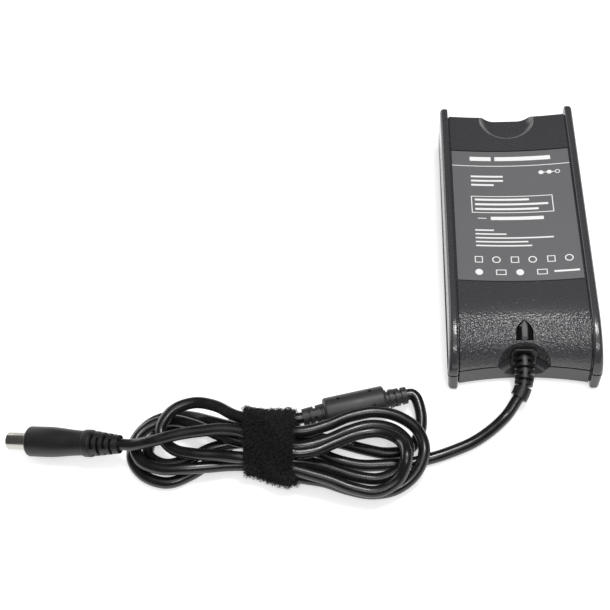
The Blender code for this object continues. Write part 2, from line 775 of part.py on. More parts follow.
def inlet(plastic, metal):
    """The inlet's moulded block with its cloverleaf well, and the three pins in it."""
    half = INLET_WIDTH / 2
    tall = INLET_HEIGHT / 2
    low = (-half, INLET_BACK_Y, INLET_CENTRE_Z - tall)
    high = (half, TAIL_Y, INLET_CENTRE_Z + tall)
    socket = add_part("inlet_socket", box("inlet_socket", low, high, INLET_EDGE), plastic)
    well = None
    for name, x, z in pin_places():
        lobe = turned("lobe", drum(WELL_LOBE_RADIUS, 0.0, WELL_DEPTH + WALL))
        lobe = spin(add_cutter("lobe_of_" + name, lobe))
        stand(lobe, (x, TAIL_Y - WELL_DEPTH, z), (0, 1, 0))
        well = boolean(lobe, well, "UNION") if well else lobe
    boolean(socket, well, "DIFFERENCE")
    radius = PIN_DIAMETER / 2
    floor = INLET_DEPTH - WELL_DEPTH
    tip = floor + PIN_LENGTH
    profile = [(0, tip), (radius * 0.5, tip), (radius, tip - radius * 0.7)]
    profile += [(radius, -PIN_TAIL), (0, -PIN_TAIL)]
    for name, x, z in pin_places():
        hole = turned("hole", drum(radius + GAP, -WALL, floor + WALL))
        hole = spin(add_cutter(name + "_hole", hole))
        stand(hole, (x, INLET_BACK_Y, z), (0, 1, 0))
        boolean(socket, hole, "DIFFERENCE")
        pin = spin(add_part(name, turned(name, profile), metal))
        stand(pin, (x, INLET_BACK_Y, z), (0, 1, 0))


# ---------------------------------------------------------------- board and what stands on it


def board(material, sheet_material):
    """The circuit board on its ledges, and the insulating sheet that lines the case below it."""
    low = (-BOARD_HALF_WIDTH, BOARD_Y[0], BOARD_BOTTOM)
    high = (BOARD_HALF_WIDTH, BOARD_Y[1], BOARD_TOP)
    add_part("circuit_board", box("circuit_board", low, high), material)
    half = CAVITY_HALF_WIDTH - LEDGE_WIDTH - GAP
    low = (-half, BOARD_Y[0], CASE_FLOOR + GAP)
    high = (half, BOARD_Y[1], CASE_FLOOR + GAP + SHEET_THICKNESS)
    add_part("insulation_sheet", box("insulation_sheet", low, high), sheet_material)


def standing_can(name, x, y, diameter, height, material):
    """An upright can, such as an electrolytic capacitor or a fuse."""
    can = turned(name, drum(diameter / 2, 0, height, diameter / 20))
    part = spin(add_part(name, can, material))
    stand(part, (x, y, SEAT))


def standing_disc(name, x, y, diameter, thickness, material):
    """A disc on edge, such as a varistor or a ceramic capacitor."""
    disc = turned(name, drum(diameter / 2, -thickness / 2, thickness / 2, thickness / 4))
    part = spin(add_part(name, disc, material), DISC_STEPS)
    stand(part, (x, y, SEAT + diameter / 2), (0, 1, 0))


def bulk_capacitor(x, y, material):
    """The large capacitor lies along the board, with the rolled groove near its seal."""
    radius = ROOM / 2
    half = BULK_LENGTH / 2
    groove = radius * 0.09
    profile = [
        (0, half),
        (radius - groove, half),
        (radius, half - groove),
        (radius, -half + 4 * groove),
        (radius - groove, -half + 3 * groove),
        (radius, -half + 2 * groove),
        (radius - groove, -half),
        (0, -half),
    ]
    part = spin(add_part("bulk_capacitor", turned("bulk_capacitor", profile), material))
    stand(part, (x, y, SEAT + radius), (0, 1, 0))


def transformer(x, y, ferrite, tape):
    """A core with two outer legs and a round middle one, and the winding round that."""
    half = TRANSFORMER_WIDTH / 2
    core_half = TRANSFORMER_CORE_LENGTH / 2
    top = SEAT + ROOM
    low = (x - half, y - core_half, SEAT)
    high = (x + half, y + core_half, top)
    core = add_part("transformer_core", box("transformer_core", low, high), ferrite)
    window_low = (x - half + TRANSFORMER_LEG, y - half, SEAT + TRANSFORMER_YOKE)
    window_high = (x + half - TRANSFORMER_LEG, y + half, top - TRANSFORMER_YOKE)
    window = add_cutter("core_window", box("core_window", window_low, window_high))
    opening = ROOM - 2 * TRANSFORMER_YOKE
    leg = turned("core_leg", drum(TRANSFORMER_CENTRE_RADIUS, -WALL, opening + WALL))
    leg = spin(add_cutter("core_leg", leg))
    stand(leg, (x, y, SEAT + TRANSFORMER_YOKE))
    boolean(core, window, "DIFFERENCE")
    boolean(core, leg, "UNION")
    outer = min(half - TRANSFORMER_LEG, TRANSFORMER_LENGTH / 2) - GAP
    coil = pipe(outer, TRANSFORMER_CENTRE_RADIUS + GAP, GAP, opening - GAP)
    coil = turned("transformer_winding", coil, ring=True)
    winding = spin(add_part("transformer_winding", coil, tape))
    stand(winding, (x, y, SEAT + TRANSFORMER_YOKE))


def heat_sink(name, tab_name, x, y, length, aluminium, plastic):
    """A folded plate on edge, with a semiconductor's body clamped to its inner face."""
    outline = [(0, 0), (0, ROOM), (-SINK_FLANGE, ROOM), (-SINK_FLANGE, ROOM - SINK_THICKNESS)]
    outline += [(-SINK_THICKNESS, ROOM - SINK_THICKNESS), (-SINK_THICKNESS, 0)]
    rings = [[(x + u, y + v, SEAT + w) for u, w in outline] for v in (-length / 2, length / 2)]
    add_part(name, loft(name, rings), aluminium)
    thick, wide, tall = TAB_SIZE
    face = x - SINK_THICKNESS - GAP
    base = SEAT + ROOM - SINK_THICKNESS - GAP - tall
    low = (face - thick, y - wide / 2, base)
    high = (face, y + wide / 2, base + tall)
    add_part(tab_name, box(tab_name, low, high, BLOCK_EDGE), plastic)


def choke_coil(x, y, material):
    """The input filter's ring, lying flat."""
    minor = CHOKE_COIL_THICKNESS / 2
    major = CHOKE_COIL_DIAMETER / 2 - minor
    angles = np.linspace(0, 2 * math.pi, COIL_SIDES, endpoint=False)
    profile = [(major + minor * math.cos(a), -minor * math.sin(a)) for a in angles]
    coil = spin(add_part("emi_choke", turned("emi_choke", profile, ring=True), material))
    stand(coil, (x, y, SEAT + minor))


def board_parts(colours):
    """Three lanes of parts along the board, spread evenly over its width and length."""
    sink_room = SINK_FLANGE + SINK_THICKNESS
    lanes = (ROOM, TRANSFORMER_WIDTH, max(sink_room, CHOKE_COIL_DIAMETER))
    left, middle, right = spread(-BOARD_HALF_WIDTH, BOARD_HALF_WIDTH, lanes)
    low = BOARD_Y[0] + LANE_NOSE_ROOM
    high = BOARD_Y[1] - WIRE_ROOM
    sleeve = colours["sleeve"]
    moulding = colours["moulding"]
    sizes = (
        OUTPUT_CAPACITOR_DIAMETER,
        Y_CAPACITOR_THICKNESS,
        BULK_LENGTH,
        VARISTOR_THICKNESS,
        FUSE_DIAMETER,
    )
    output, disc, bulk, varistor, fuse = spread(low, high, sizes)
    standing_can("output_capacitor_1", left, output, OUTPUT_CAPACITOR_DIAMETER, ROOM, sleeve)
    size = (Y_CAPACITOR_DIAMETER, Y_CAPACITOR_THICKNESS)
    standing_disc("y_capacitor", left, disc, *size, colours["blue"])
    bulk_capacitor(left, bulk, sleeve)
    size = (VARISTOR_DIAMETER, VARISTOR_THICKNESS)
    standing_disc("surge_varistor", left, varistor, *size, colours["blue"])
    standing_can("fuse", left, fuse, FUSE_DIAMETER, FUSE_HEIGHT, moulding)
    sizes = (
        OUTPUT_CAPACITOR_DIAMETER,
        OPTOCOUPLER_SIZE[1],
        TRANSFORMER_LENGTH,
        CONTROLLER_SIZE[1],
        BRIDGE_SIZE[1],
        X_CAPACITOR_SIZE[1],
    )
    output, optocoupler, coil, controller, bridge, x_capacitor = spread(low, high, sizes)
    standing_can("output_capacitor_2", middle, output, OUTPUT_CAPACITOR_DIAMETER, ROOM, sleeve)
    transformer(middle, coil, colours["ferrite"], colours["tape"])
    for name, y, size, edge, material in (
        ("optocoupler", optocoupler, OPTOCOUPLER_SIZE, CHIP_EDGE, moulding),
        ("controller_chip", controller, CONTROLLER_SIZE, CHIP_EDGE, moulding),
        ("bridge_rectifier", bridge, BRIDGE_SIZE, BLOCK_EDGE, moulding),
        ("x_capacitor", x_capacitor, X_CAPACITOR_SIZE, BLOCK_EDGE, colours["tape"]),
    ):
        add_part(name, standing_box(name, (middle, y), size, edge), material)
    sizes = (SECONDARY_SINK_LENGTH, PRIMARY_SINK_LENGTH, CHOKE_COIL_DIAMETER)
    secondary, primary, coil = spread(low, high, sizes)
    face = right + sink_room / 2
    for name, tab, y, length in (
        ("secondary_heat_sink", "output_rectifier", secondary, SECONDARY_SINK_LENGTH),
        ("primary_heat_sink", "switching_transistor", primary, PRIMARY_SINK_LENGTH),
    ):
        heat_sink(name, tab, face, y, length, colours["aluminium"], moulding)
    choke_coil(right, coil, colours["copper"])


def wire_route(x, y, z, way):
    """From a terminal along Y, up to bending height where it lies low, then down to the board."""
    top = max(z, SEAT + WIRE_BEND + WIRE_DIAMETER / 2)
    start = y + way * WIRE_DIAMETER / 2
    run = 4 * WIRE_DIAMETER
    points = [(x, y, z)]
    for u in np.linspace(0, 1, 2 * WIRE_STEPS + 1):
        points.append((x, start + way * run * u, z + (top - z) * smooth_step(u)))
    bend = start + way * run
    for angle in np.linspace(0, math.pi / 2, WIRE_STEPS + 1)[1:]:
        height = top - WIRE_BEND * (1 - math.cos(angle))
        points.append((x, bend + way * WIRE_BEND * math.sin(angle), height))
    points.append((x, bend + way * WIRE_BEND, SEAT))
    return points


def wires(colours):
    """Short wires: from the inlet's pins down to the board, and from the board to the boot."""
    radius = WIRE_DIAMETER / 2
    for name, x, z in pin_places():
        route = wire_route(x, PIN_TAIL_Y - GAP, z, -1)
        tube(name.replace("pin", "wire"), route, radius, colours["wire"], 1)
    for name, side in (("output_wire_positive", 1), ("output_wire_return", -1)):
        x = side * (LAMP_DIAMETER / 2 + radius + 2 * GAP)
        route = wire_route(x, FLANGE_BACK_Y + GAP, BOOT_HEIGHT, 1)
        tube(name, route, radius, colours["wire"], 1)


# ---------------------------------------------------------------- boot and lead


def boot_path():
    """The boot's middle line: straight out of the collar, then drooping to its tip."""
    start = np.array((0.0, COLLAR_FRONT_Y + COLLAR_SINK, BOOT_HEIGHT))
    tip = np.array(BOOT_TIP)
    lead = np.array(LEAD_ROUTE[0])
    reach = np.linalg.norm(tip - start)
    out = np.array((0.0, -1.0, -0.12)) * reach
    into = (lead - tip) / np.linalg.norm(lead - tip) * reach
    points = []
    for u in np.linspace(0, 1, BOOT_PATH_STEPS + 1):
        bend = (2 * u**3 - 3 * u**2 + 1) * start + (u**3 - 2 * u**2 + u) * out
        points.append(bend + (3 * u**2 - 2 * u**3) * tip + (u**3 - u**2) * into)
    return np.array(points)


def at_distance(path, distance):
    """The point of a path at a distance along it, and the path's direction there."""
    steps = np.linalg.norm(np.diff(path, axis=0), axis=1)
    marks = np.concatenate([[0], np.cumsum(steps)])
    place = np.array([np.interp(distance, marks, path[:, axis]) for axis in range(3)])
    reach = GAP
    ahead = np.array([np.interp(distance + reach, marks, path[:, axis]) for axis in range(3)])
    behind = np.array([np.interp(distance - reach, marks, path[:, axis]) for axis in range(3)])
    return place, ahead - behind


def path_length(path):
    return np.linalg.norm(np.diff(path, axis=0), axis=1).sum()


def slot_rows(start, end, count, first_radius, last_radius, depth):
    """(distance, radius, cut, row) along a boot that tapers, with rows of slots in it."""
    length = (end - start) / count
    stations = []
    for row in range(count):
        radius = first_radius + (last_radius - first_radius) * (row + 0.5) / count
        for share, is_cut in SLOT_ROW:
            stations.append((start + length * (row + share), radius, depth * is_cut, row))
    return stations


def strain_relief(material):
    """Flange inside the wall, neck through it, square collar in the pocket, slotted boot."""
    rings = []
    for y, width in (
        (FLANGE_BACK_Y, FLANGE_WIDTH),
        (POCKET_WALL_Y + GAP, FLANGE_WIDTH),
        (POCKET_WALL_Y + GAP, NECK_WIDTH),
        (COLLAR_BACK_Y, NECK_WIDTH),
    ):
        rings.append(square_points(y, width / 2, width / 2, NECK_POWER, BOOT_SIDES))
    for y, inset in (
        (COLLAR_BACK_Y, 0.0),
        (COLLAR_FRONT_Y, 0.0),
        (COLLAR_FRONT_Y, COLLAR_RIM),
        (COLLAR_FRONT_Y + COLLAR_SINK, COLLAR_RIM),
    ):
        wide = COLLAR_WIDTH / 2 - inset
        tall = COLLAR_HEIGHT / 2 - inset
        rings.append(square_points(y, wide, tall, COLLAR_POWER, BOOT_SIDES))
    path = boot_path()
    length = path_length(path)
    cuff = length - BOOT_CUFF_LENGTH
    stations = [(0.0, BOOT_ROOT_RADIUS, 0.0, 0)]
    stations += slot_rows(0.0, cuff, BOOT_ROWS, BOOT_ROOT_RADIUS, BOOT_TIP_RADIUS, BOOT_SLOT_DEPTH)
    stations.append((cuff + BOOT_CUFF_ROUND, BOOT_CUFF_RADIUS, 0.0, 0))
    stations.append((length - BOOT_CUFF_ROUND, BOOT_CUFF_RADIUS, 0.0, 0))
    stations.append((length, BOOT_CUFF_RADIUS - BOOT_CUFF_ROUND, 0.0, 0))
    for distance, radius, cut, row in stations:
        place, along = at_distance(path, distance)
        rings.append(ring_points(place, along, radius, BOOT_SIDES, cut, row))
    add_part("strain_relief", loft("strain_relief", rings), material)


def lead_points():
    """The cord's free stretch, from the boot's tip to where the hank begins."""
    path = boot_path()
    tip, along = at_distance(path, path_length(path))
    along = along / np.linalg.norm(along)
    start = tip + along * GAP
    route = [start, start + along * CORD_DIAMETER * 0.6, *LEAD_ROUTE]
    count = round(path_length(np.array(route)) / FREE_POINT_PITCH) + 2
    points = smooth_curve(route, count)
    end, out = np.array(LEAD_ROUTE[-1]), lead_direction()
    return np.vstack([points[:-1], end - out * CORD_DIAMETER / 2, end])


def lead_direction():
    """The way the cord's free stretch points where the hank takes over."""
    before, end = (np.array(point) for point in LEAD_ROUTE[-2:])
    return (end - before) / np.linalg.norm(end - before)


# ---------------------------------------------------------------- hank, choke and strap


def half_turn(turn, side):
    """A loop's round end, as half an ellipse from its back to its front."""
    tip, bend, back, front, back_z, tip_z, front_z = turn
    points = []
    for angle in np.linspace(math.pi / 2, -math.pi / 2, TURN_POINTS):
        reach = math.sin(angle)
        height = tip_z + (back_z - tip_z) * smooth_step(max(reach, 0.0))
        height += (front_z - tip_z) * smooth_step(max(-reach, 0.0))
        x = tip - side * bend * (1 - math.cos(angle))
        points.append((x, (back + front) / 2 + (back - front) / 2 * reach, height))
    return points


def between(start, end, count=2):
    """Points strictly between two ends, eased sideways and in height."""
    points = []
    for u in np.arange(1, count + 1) / (count + 1):
        ease = smooth_step(u)
        points.append(
            (
                start[0] + (end[0] - start[0]) * u,
                start[1] + (end[1] - start[1]) * ease,
                start[2] + (end[2] - start[2]) * ease,
            )
        )
    return points


def choke_line():
    """The ends of the cord's straight stretch through the choke and its two boots, and its way."""
    start, end = (np.array(point) for point in CHOKE_ENDS)
    along = (end - start) / np.linalg.norm(end - start)
    reach = CHOKE_BOOT_LENGTH + CORD_RADIUS
    return start - along * reach, end + along * reach, along


def hank_routes():
    """Nine passes through the waist, joined in turn by a left and a right loop: the route up to
    the choke and the route on from it."""
    before, after, along = choke_line()
    start = np.array(LEAD_ROUTE[-1]) + lead_direction() * GAP
    route = [tuple(start + lead_direction() * CORD_DIAMETER), *HANK_ENTRY]
    routes = []
    for number, (right, left) in enumerate(PASSES):
        right_edge = (WAIST_X[1], *right)
        left_edge = (WAIST_X[0], *left)
        leftwards = number % 2 == 0
        enter, leave = (right_edge, left_edge) if leftwards else (left_edge, right_edge)
        if number == CHOKED_PASS:
            leave = tuple(before - along * CORD_RADIUS)
        route += between(route[-1], enter, 1 if number == 0 else 2)
        route += [enter, *between(enter, leave), leave]
        if number == len(PASSES) - 1:
            break
        if number == CHOKED_PASS:
            routes.append([*route, tuple(before)])
            turn = half_turn(RIGHT_TURNS[0], 1)
            route = [tuple(after), tuple(after + along * CORD_RADIUS)]
            past = after[0] + CORD_DIAMETER
            route += [point for point in turn if point[0] > past or point[1] < before[1]]
        elif leftwards:
            turn = half_turn(LEFT_TURNS[number // 2], -1)[::-1]
            route += between(leave, turn[0]) + turn
        else:
            turn = half_turn(RIGHT_TURNS[number // 2], 1)
            route += between(leave, turn[0]) + turn
    routes.append([*route, *HANK_EXIT, tuple(plug_tail() + PLUG_AXIS * CORD_DIAMETER)])
    return routes


def plug_tail():
    """Where the cord ends, just clear of the plug's boot."""
    return Vector(PLUG_TIP) + PLUG_AXIS * (BARREL_SHOWN + PLUG_END + GAP)


def closest_points(path):
    """For each pair of segments two or more apart: their numbers, where along each they come
    closest, and the vector between those places."""
    steps = np.diff(path, axis=0)
    first, second = np.triu_indices(len(steps), 2)
    u, v = steps[first], steps[second]
    w = path[first] - path[second]
    a, b, c = (u * u).sum(1), (u * v).sum(1), (v * v).sum(1)
    d, e = (u * w).sum(1), (v * w).sum(1)
    spread_out = np.maximum(a * c - b * b, 1e-18)
    s = np.clip((b * e - c * d) / spread_out, 0, 1)
    t = np.clip((b * s + e) / c, 0, 1)
    s = np.clip((b * t - d) / a, 0, 1)
    t = np.clip((b * s + e) / c, 0, 1)
    return first, second, s, t, w + u * s[:, None] - v * t[:, None]


def settle(path, radii, held, floors):
    """Parts strands that touch, a little at a time, while the loops keep their smooth form."""
    rest = path.copy()
    for step in range(HANK_SETTLING_STEPS):
        first, second, s, t, apart = closest_points(path)
        distance = np.linalg.norm(apart, axis=1)
        need = radii[first] + radii[second] + HANK_GAP - distance
        near = (need > 0) & (second - first >= HANK_NEIGHBOURS)
        direction = apart[near] / np.maximum(distance[near], 1e-9)[:, None]
        push = np.zeros_like(path)
        share = np.zeros(len(path))
        for number, where, sign in ((first[near], s[near], 1), (second[near], t[near], -1)):
            for offset, weight in ((0, 1 - where), (1, where)):
                half = (need[near] * weight / 2)[:, None]
                np.add.at(push, number + offset, sign * direction * half)
                np.add.at(share, number + offset, weight)
        push /= np.maximum(share, 1)[:, None]
        path = np.where(held[:, None], path, path + 0.9 * push)
        moved = path - rest
        eased = moved.copy()
        eased[1:-1] = 0.5 * moved[1:-1] + 0.25 * (moved[:-2] + moved[2:])
        stiffness = HANK_STIFFNESS * (1 - step / HANK_SETTLING_STEPS) ** 1.5
        path = np.where(held[:, None], path, rest + (1 - stiffness) * moved + stiffness * eased)
        path[:, 2] = np.where(held, path[:, 2], np.maximum(path[:, 2], floors))
    return path


def hank_points():
    """The hank's middle line: its strands are parted, and it is straight inside the choke."""
    routes = hank_routes()
    lengths = [path_length(np.array(route)) for route in routes]
    counts = [round(HANK_POINTS * length / sum(lengths)) for length in lengths]
    first, second = (smooth_curve(route, count) for route, count in zip(routes, counts))
    start = np.array(LEAD_ROUTE[-1]) + lead_direction() * GAP
    path = np.vstack([start, first, CHOKE_ENDS, second, plug_tail()])
    choke_start = len(first) + 1
    held = np.zeros(len(path), bool)
    held[[0, 1, -2, -1]] = True
    held[choke_start - 1 : choke_start + 3] = True
    radii = np.full(len(path) - 1, CORD_RADIUS)
    in_choke = (CHOKE_BOOT_RADIUS, CHOKE_RADIUS, CHOKE_BOOT_RADIUS)
    radii[choke_start - 1 : choke_start + 2] = in_choke
    low_x = WAIST_X[0] - CORD_DIAMETER
    high_x = WAIST_X[1] + CORD_DIAMETER
    at_waist = (path[:, 0] > low_x) & (path[:, 0] < high_x)
    floors = np.where(at_waist, WAIST_FLOOR, CORD_FLOOR)
    path = settle(path, radii, held, floors)
    first, second, _, _, apart = closest_points(path)
    clear = np.linalg.norm(apart, axis=1)[second - first >= HANK_NEIGHBOURS] - CORD_DIAMETER
    print(f"hank: {path_length(path) * 1000:.0f} mm of cord")
    print(f"hank: least gap to itself {clear.min() * 1000:.2f} mm")
    return path


def choke(rubber, ferrite):
    """The overmould round the cord, slotted at both ends, and the ferrite core inside it."""
    start, end = (Vector(point) for point in CHOKE_ENDS)
    length = (end - start).length
    edge = CHOKE_ROUND
    boot = CHOKE_BOOT_LENGTH
    grip = CHOKE_BOOT_RADIUS
    rows = slot_rows(0, boot, CHOKE_BOOT_ROWS, grip, grip, CHOKE_SLOT_DEPTH)
    left = [(-distance, radius, cut, row) for distance, radius, cut, row in rows]
    right = [(length + distance, radius, cut, row) for distance, radius, cut, row in rows]
    corner = [(0, CHOKE_RADIUS - edge), (edge * 0.3, CHOKE_RADIUS - edge * 0.3), (edge, CHOKE_RADIUS)]
    body = corner + [(length - distance, radius) for distance, radius in corner[::-1]]
    bore = CHOKE_BORE_RADIUS
    pocket = CHOKE_POCKET_RADIUS
    pocket_low = CHOKE_POCKET_END
    pocket_high = length - CHOKE_POCKET_END
    inner = [(right[-1][0], bore), (pocket_high, bore), (pocket_high, pocket)]
    inner += [(pocket_low, pocket), (pocket_low, bore), (left[-1][0], bore)]
    plain = [[(distance, radius, 0.0, 0) for distance, radius in side] for side in (body, inner)]
    stations = left[::-1] + plain[0] + right + plain[1]
    overmould = slotted_loft("ferrite_overmould", stations, closed=True)
    overmould = add_part("ferrite_overmould", overmould, rubber)
    stand(overmould, start, end - start)
    outside = pocket - GAP
    profile = pipe(outside, outside - CORE_WALL, pocket_low + GAP, pocket_high - GAP)
    core = spin(add_part("ferrite_core", turned("ferrite_core", profile, ring=True), ferrite))
    stand(core, start, end - start)


def strands_at(path, x):
    """(y, z) of each place where the cord passes through an upright plane, and its slope there."""
    places = []
    slopes = []
    for a, b in zip(path, path[1:]):
        if (a[0] - x) * (b[0] - x) < 0:
            slope = (b[1:] - a[1:]) / (b[0] - a[0])
            places.append(a[1:] + slope * (x - a[0]))
            slopes.append(slope)
    return np.array(places), np.array(slopes)


def strap(path, material):
    """The tie strap: a band drawn tight round the outline of the strands it holds."""
    inner = []
    outer = []
    for x in np.linspace(WAIST_X[0], WAIST_X[1], STRAP_STATIONS):
        places, slopes = strands_at(path, x)
        rings = ([], [])
        for k in range(STRAP_SIDES):
            angle = 2 * math.pi * k / STRAP_SIDES
            facing = np.array((math.cos(angle), math.sin(angle)))
            half_widths = CORD_RADIUS * np.sqrt(1 + (slopes @ facing) ** 2)
            outermost = (places @ facing + half_widths).argmax()
            for ring, thickness in zip(rings, (0.0, STRAP_THICKNESS)):
                reach = half_widths[outermost] + STRAP_CLEARANCE + thickness
                ring.append((x, *(places[outermost] + facing * reach)))
        inner.append(rings[0])
        outer.append(rings[1])
    add_part("tie_strap", loft("tie_strap", outer + inner[::-1], closed=True), material)


# ---------------------------------------------------------------- plug


def plug(rubber, metal, insulation):
    """The plug's pieces, turned about one axis that starts at its tip."""
    frame = bpy.data.objects.new("plug_frame", None)
    PARTS.objects.link(frame)
    stand(frame, PLUG_TIP, PLUG_AXIS)
    bore = BARREL_DIAMETER / 2 + GAP
    sunk = BARREL_SHOWN + BARREL_SUNK
    shoulder = BARREL_SHOWN + PLUG_LENGTH
    ring_end = shoulder + PLUG_RING_LENGTH
    end = BARREL_SHOWN + PLUG_END
    body = PLUG_DIAMETER / 2
    rim = PLUG_ROUND
    half_end = PLUG_END_DIAMETER / 2
    ring = PLUG_RING_DIAMETER / 2
    tail = PLUG_BOOT_END_DIAMETER / 2
    taper = PLUG_LENGTH * PLUG_STRAIGHT_SHARE
    outline = [(sunk + GAP, bore), (BARREL_SHOWN, bore), (BARREL_SHOWN, body - rim)]
    outline += [(BARREL_SHOWN + rim * 0.3, body - rim * 0.3), (BARREL_SHOWN + rim, body)]
    for u in np.linspace(0, 1, PLUG_TAPER_STEPS + 1):
        distance = BARREL_SHOWN + taper + (PLUG_LENGTH - taper) * u
        outline.append((distance, body + (half_end - body) * smooth_step(u)))
    outline += [(shoulder, ring), (ring_end, ring)]
    stations = [(distance, radius, 0.0, 0) for distance, radius in outline]
    stations += slot_rows(ring_end, end - rim, PLUG_BOOT_ROWS, ring, tail, PLUG_SLOT_DEPTH)
    stations.append((end, tail, 0.0, 0))
    grip = add_part("plug_overmould", slotted_loft("plug_overmould", stations), rubber)
    grip.parent = frame
    pieces = []
    outside = BARREL_DIAMETER / 2
    inside = outside - BARREL_WALL
    pieces.append(("plug_barrel", pipe(outside, inside, 0.0, sunk), True, metal))
    outside = inside - SLEEVE_GAP
    inside = outside - INSULATOR_WALL
    pieces.append(("plug_insulator", pipe(outside, inside, SLEEVE_SINK, sunk), True, insulation))
    outside = inside - SLEEVE_GAP
    inside = outside - CONTACT_WALL
    base = sunk - 3 * BARREL_WALL
    pin = PLUG_PIN_DIAMETER / 2
    contact = [(outside, sunk), (outside, SLEEVE_SINK), (inside, SLEEVE_SINK), (inside, base)]
    contact += [(pin + SLEEVE_GAP, base), (pin + SLEEVE_GAP, sunk)]
    pieces.append(("plug_inner_contact", contact, True, metal))
    needle = [(0, sunk), (pin, sunk), (pin, 2 * SLEEVE_SINK + pin), (0, 2 * SLEEVE_SINK)]
    pieces.append(("plug_pin", needle, False, metal))
    for name, outline, ring, material in pieces:
        piece = spin(add_part(name, turned(name, outline, ring=ring), material))
        piece.parent = frame


# ---------------------------------------------------------------- the whole adapter


def shade_parts():
    """Fixes each part's modifiers in its mesh and shades it smooth over its gentle edges."""
    bpy.context.view_layer.update()
    graph = bpy.context.evaluated_depsgraph_get()
    parts = [part for part in PARTS.objects if part.type == "MESH"]
    meshes = [bpy.data.meshes.new_from_object(part.evaluated_get(graph)) for part in parts]
    for part, mesh in zip(parts, meshes):
        mesh.name = part.name
        part.modifiers.clear()
        part.data = mesh
        mesh.shade_smooth()
        mesh.set_sharp_from_angle(angle=SMOOTH_ANGLE)


def build():
    """Every piece in its finish, at its place."""
    plastic = finish("moulded black plastic", (0.028, 0.028, 0.030), 0.48)
    rubber = finish("black rubber", (0.012, 0.012, 0.013), 0.5)
    cord = finish("cord jacket", (0.010, 0.010, 0.011), 0.32)
    nickel = finish("nickel", (0.62, 0.60, 0.57), 0.25, 1.0)
    colours = {
        "moulding": finish("dark moulding", (0.02, 0.02, 0.022), 0.5),
        "sleeve": finish("capacitor sleeve", (0.02, 0.03, 0.08), 0.4),
        "blue": finish("blue epoxy", (0.05, 0.14, 0.45), 0.45),
        "ferrite": finish("ferrite", (0.03, 0.03, 0.035), 0.6),
        "tape": finish("yellow tape", (0.75, 0.55, 0.08), 0.5),
        "aluminium": finish("aluminium", (0.70, 0.71, 0.72), 0.4, 1.0),
        "copper": finish("enamelled copper", (0.60, 0.24, 0.08), 0.35, 0.8),
        "wire": finish("wire sleeve", (0.35, 0.03, 0.03), 0.5),
    }
    shells(plastic)
    label(finish("label grey", (0.16, 0.16, 0.165), 0.5))
    indicator(finish("indicator lens", (0.02, 0.022, 0.02), 0.1), finish("lamp", (0.1, 0.5, 0.15), 0.2))
    inlet(colours["moulding"], nickel)
    board(finish("circuit board", (0.03, 0.16, 0.07), 0.5), finish("fishpaper", (0.5, 0.45, 0.32), 0.8))
    board_parts(colours)
    wires(colours)
    strain_relief(rubber)
    tube("dc_lead", lead_points(), CORD_RADIUS, cord)
    path = hank_points()
    tube("cord_hank", path, CORD_RADIUS, cord, 1)
    choke(rubber, colours["ferrite"])
    strap(path, finish("hook and loop fabric", (0.008, 0.008, 0.009), 0.9))
    plug(rubber, nickel, finish("insulator", (0.05, 0.05, 0.05), 0.5))
    shade_parts()


build()
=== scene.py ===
"""A laptop power adapter: the looks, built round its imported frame. Metres throughout."""

import math

import bmesh
import bpy
import numpy as np
from mathutils import Matrix, Vector


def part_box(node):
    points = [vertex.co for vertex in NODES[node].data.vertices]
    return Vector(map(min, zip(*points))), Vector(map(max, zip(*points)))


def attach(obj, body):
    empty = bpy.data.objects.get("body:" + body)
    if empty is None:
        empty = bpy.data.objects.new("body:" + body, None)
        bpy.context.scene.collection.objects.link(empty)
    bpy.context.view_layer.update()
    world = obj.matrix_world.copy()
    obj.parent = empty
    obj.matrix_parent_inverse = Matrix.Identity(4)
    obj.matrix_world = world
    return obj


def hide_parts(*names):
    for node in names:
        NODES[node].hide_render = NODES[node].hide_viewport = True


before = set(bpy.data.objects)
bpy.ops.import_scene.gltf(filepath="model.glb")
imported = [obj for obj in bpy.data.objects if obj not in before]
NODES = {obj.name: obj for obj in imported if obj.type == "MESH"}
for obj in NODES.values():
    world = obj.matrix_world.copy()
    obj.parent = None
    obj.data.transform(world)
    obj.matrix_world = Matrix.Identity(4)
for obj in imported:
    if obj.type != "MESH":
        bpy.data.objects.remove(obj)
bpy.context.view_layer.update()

# ---------------------------------------------------------------- camera
# The photographer stood at the cord's end, held the camera a little off level and looked down at
# the adapter from about half a metre.

CAMERA_PLACE = (-0.053176, -0.358799, 0.436671)
CAMERA_HEADING = math.radians(7.5801)
CAMERA_DOWN = math.radians(52.5233)
CAMERA_LEAN = math.radians(-6.7368)
CAMERA_LENS = 69.478

camera_data = bpy.data.cameras.new("camera")
camera_data.lens = CAMERA_LENS
camera_data.sensor_width = 36.0
camera = bpy.data.objects.new("camera", camera_data)
bpy.context.scene.collection.objects.link(camera)
camera.matrix_world = (
    Matrix.Translation(CAMERA_PLACE)
    @ Matrix.Rotation(CAMERA_HEADING, 4, "Z")
    @ Matrix.Rotation(math.pi / 2 - CAMERA_DOWN, 4, "X")
    @ Matrix.Rotation(CAMERA_LEAN, 4, "Z")
)
bpy.context.scene.camera = camera


# ---------------------------------------------------------------- studio
# A white sweep under a broad overhead box, with two lamps over the nose and a low box at the left.
# It renders white and mirrors as white, and the adapter leaves only a faint shadow on it.

FLOOR_REACH = 6.0
FLOOR_WHITE = "#E9E9E9"
FLOOR_LIFT = 0.50
SURROUND_STRENGTH = 0.40
MIRRORED_SURROUND = 0.10


def linear(code):
    """The linear colour of an sRGB hex code."""
    channels = [int(code[i : i + 2], 16) / 255 for i in (1, 3, 5)]
    return (*((c / 12.92 if c <= 0.04045 else ((c + 0.055) / 1.055) ** 2.4) for c in channels), 1.0)


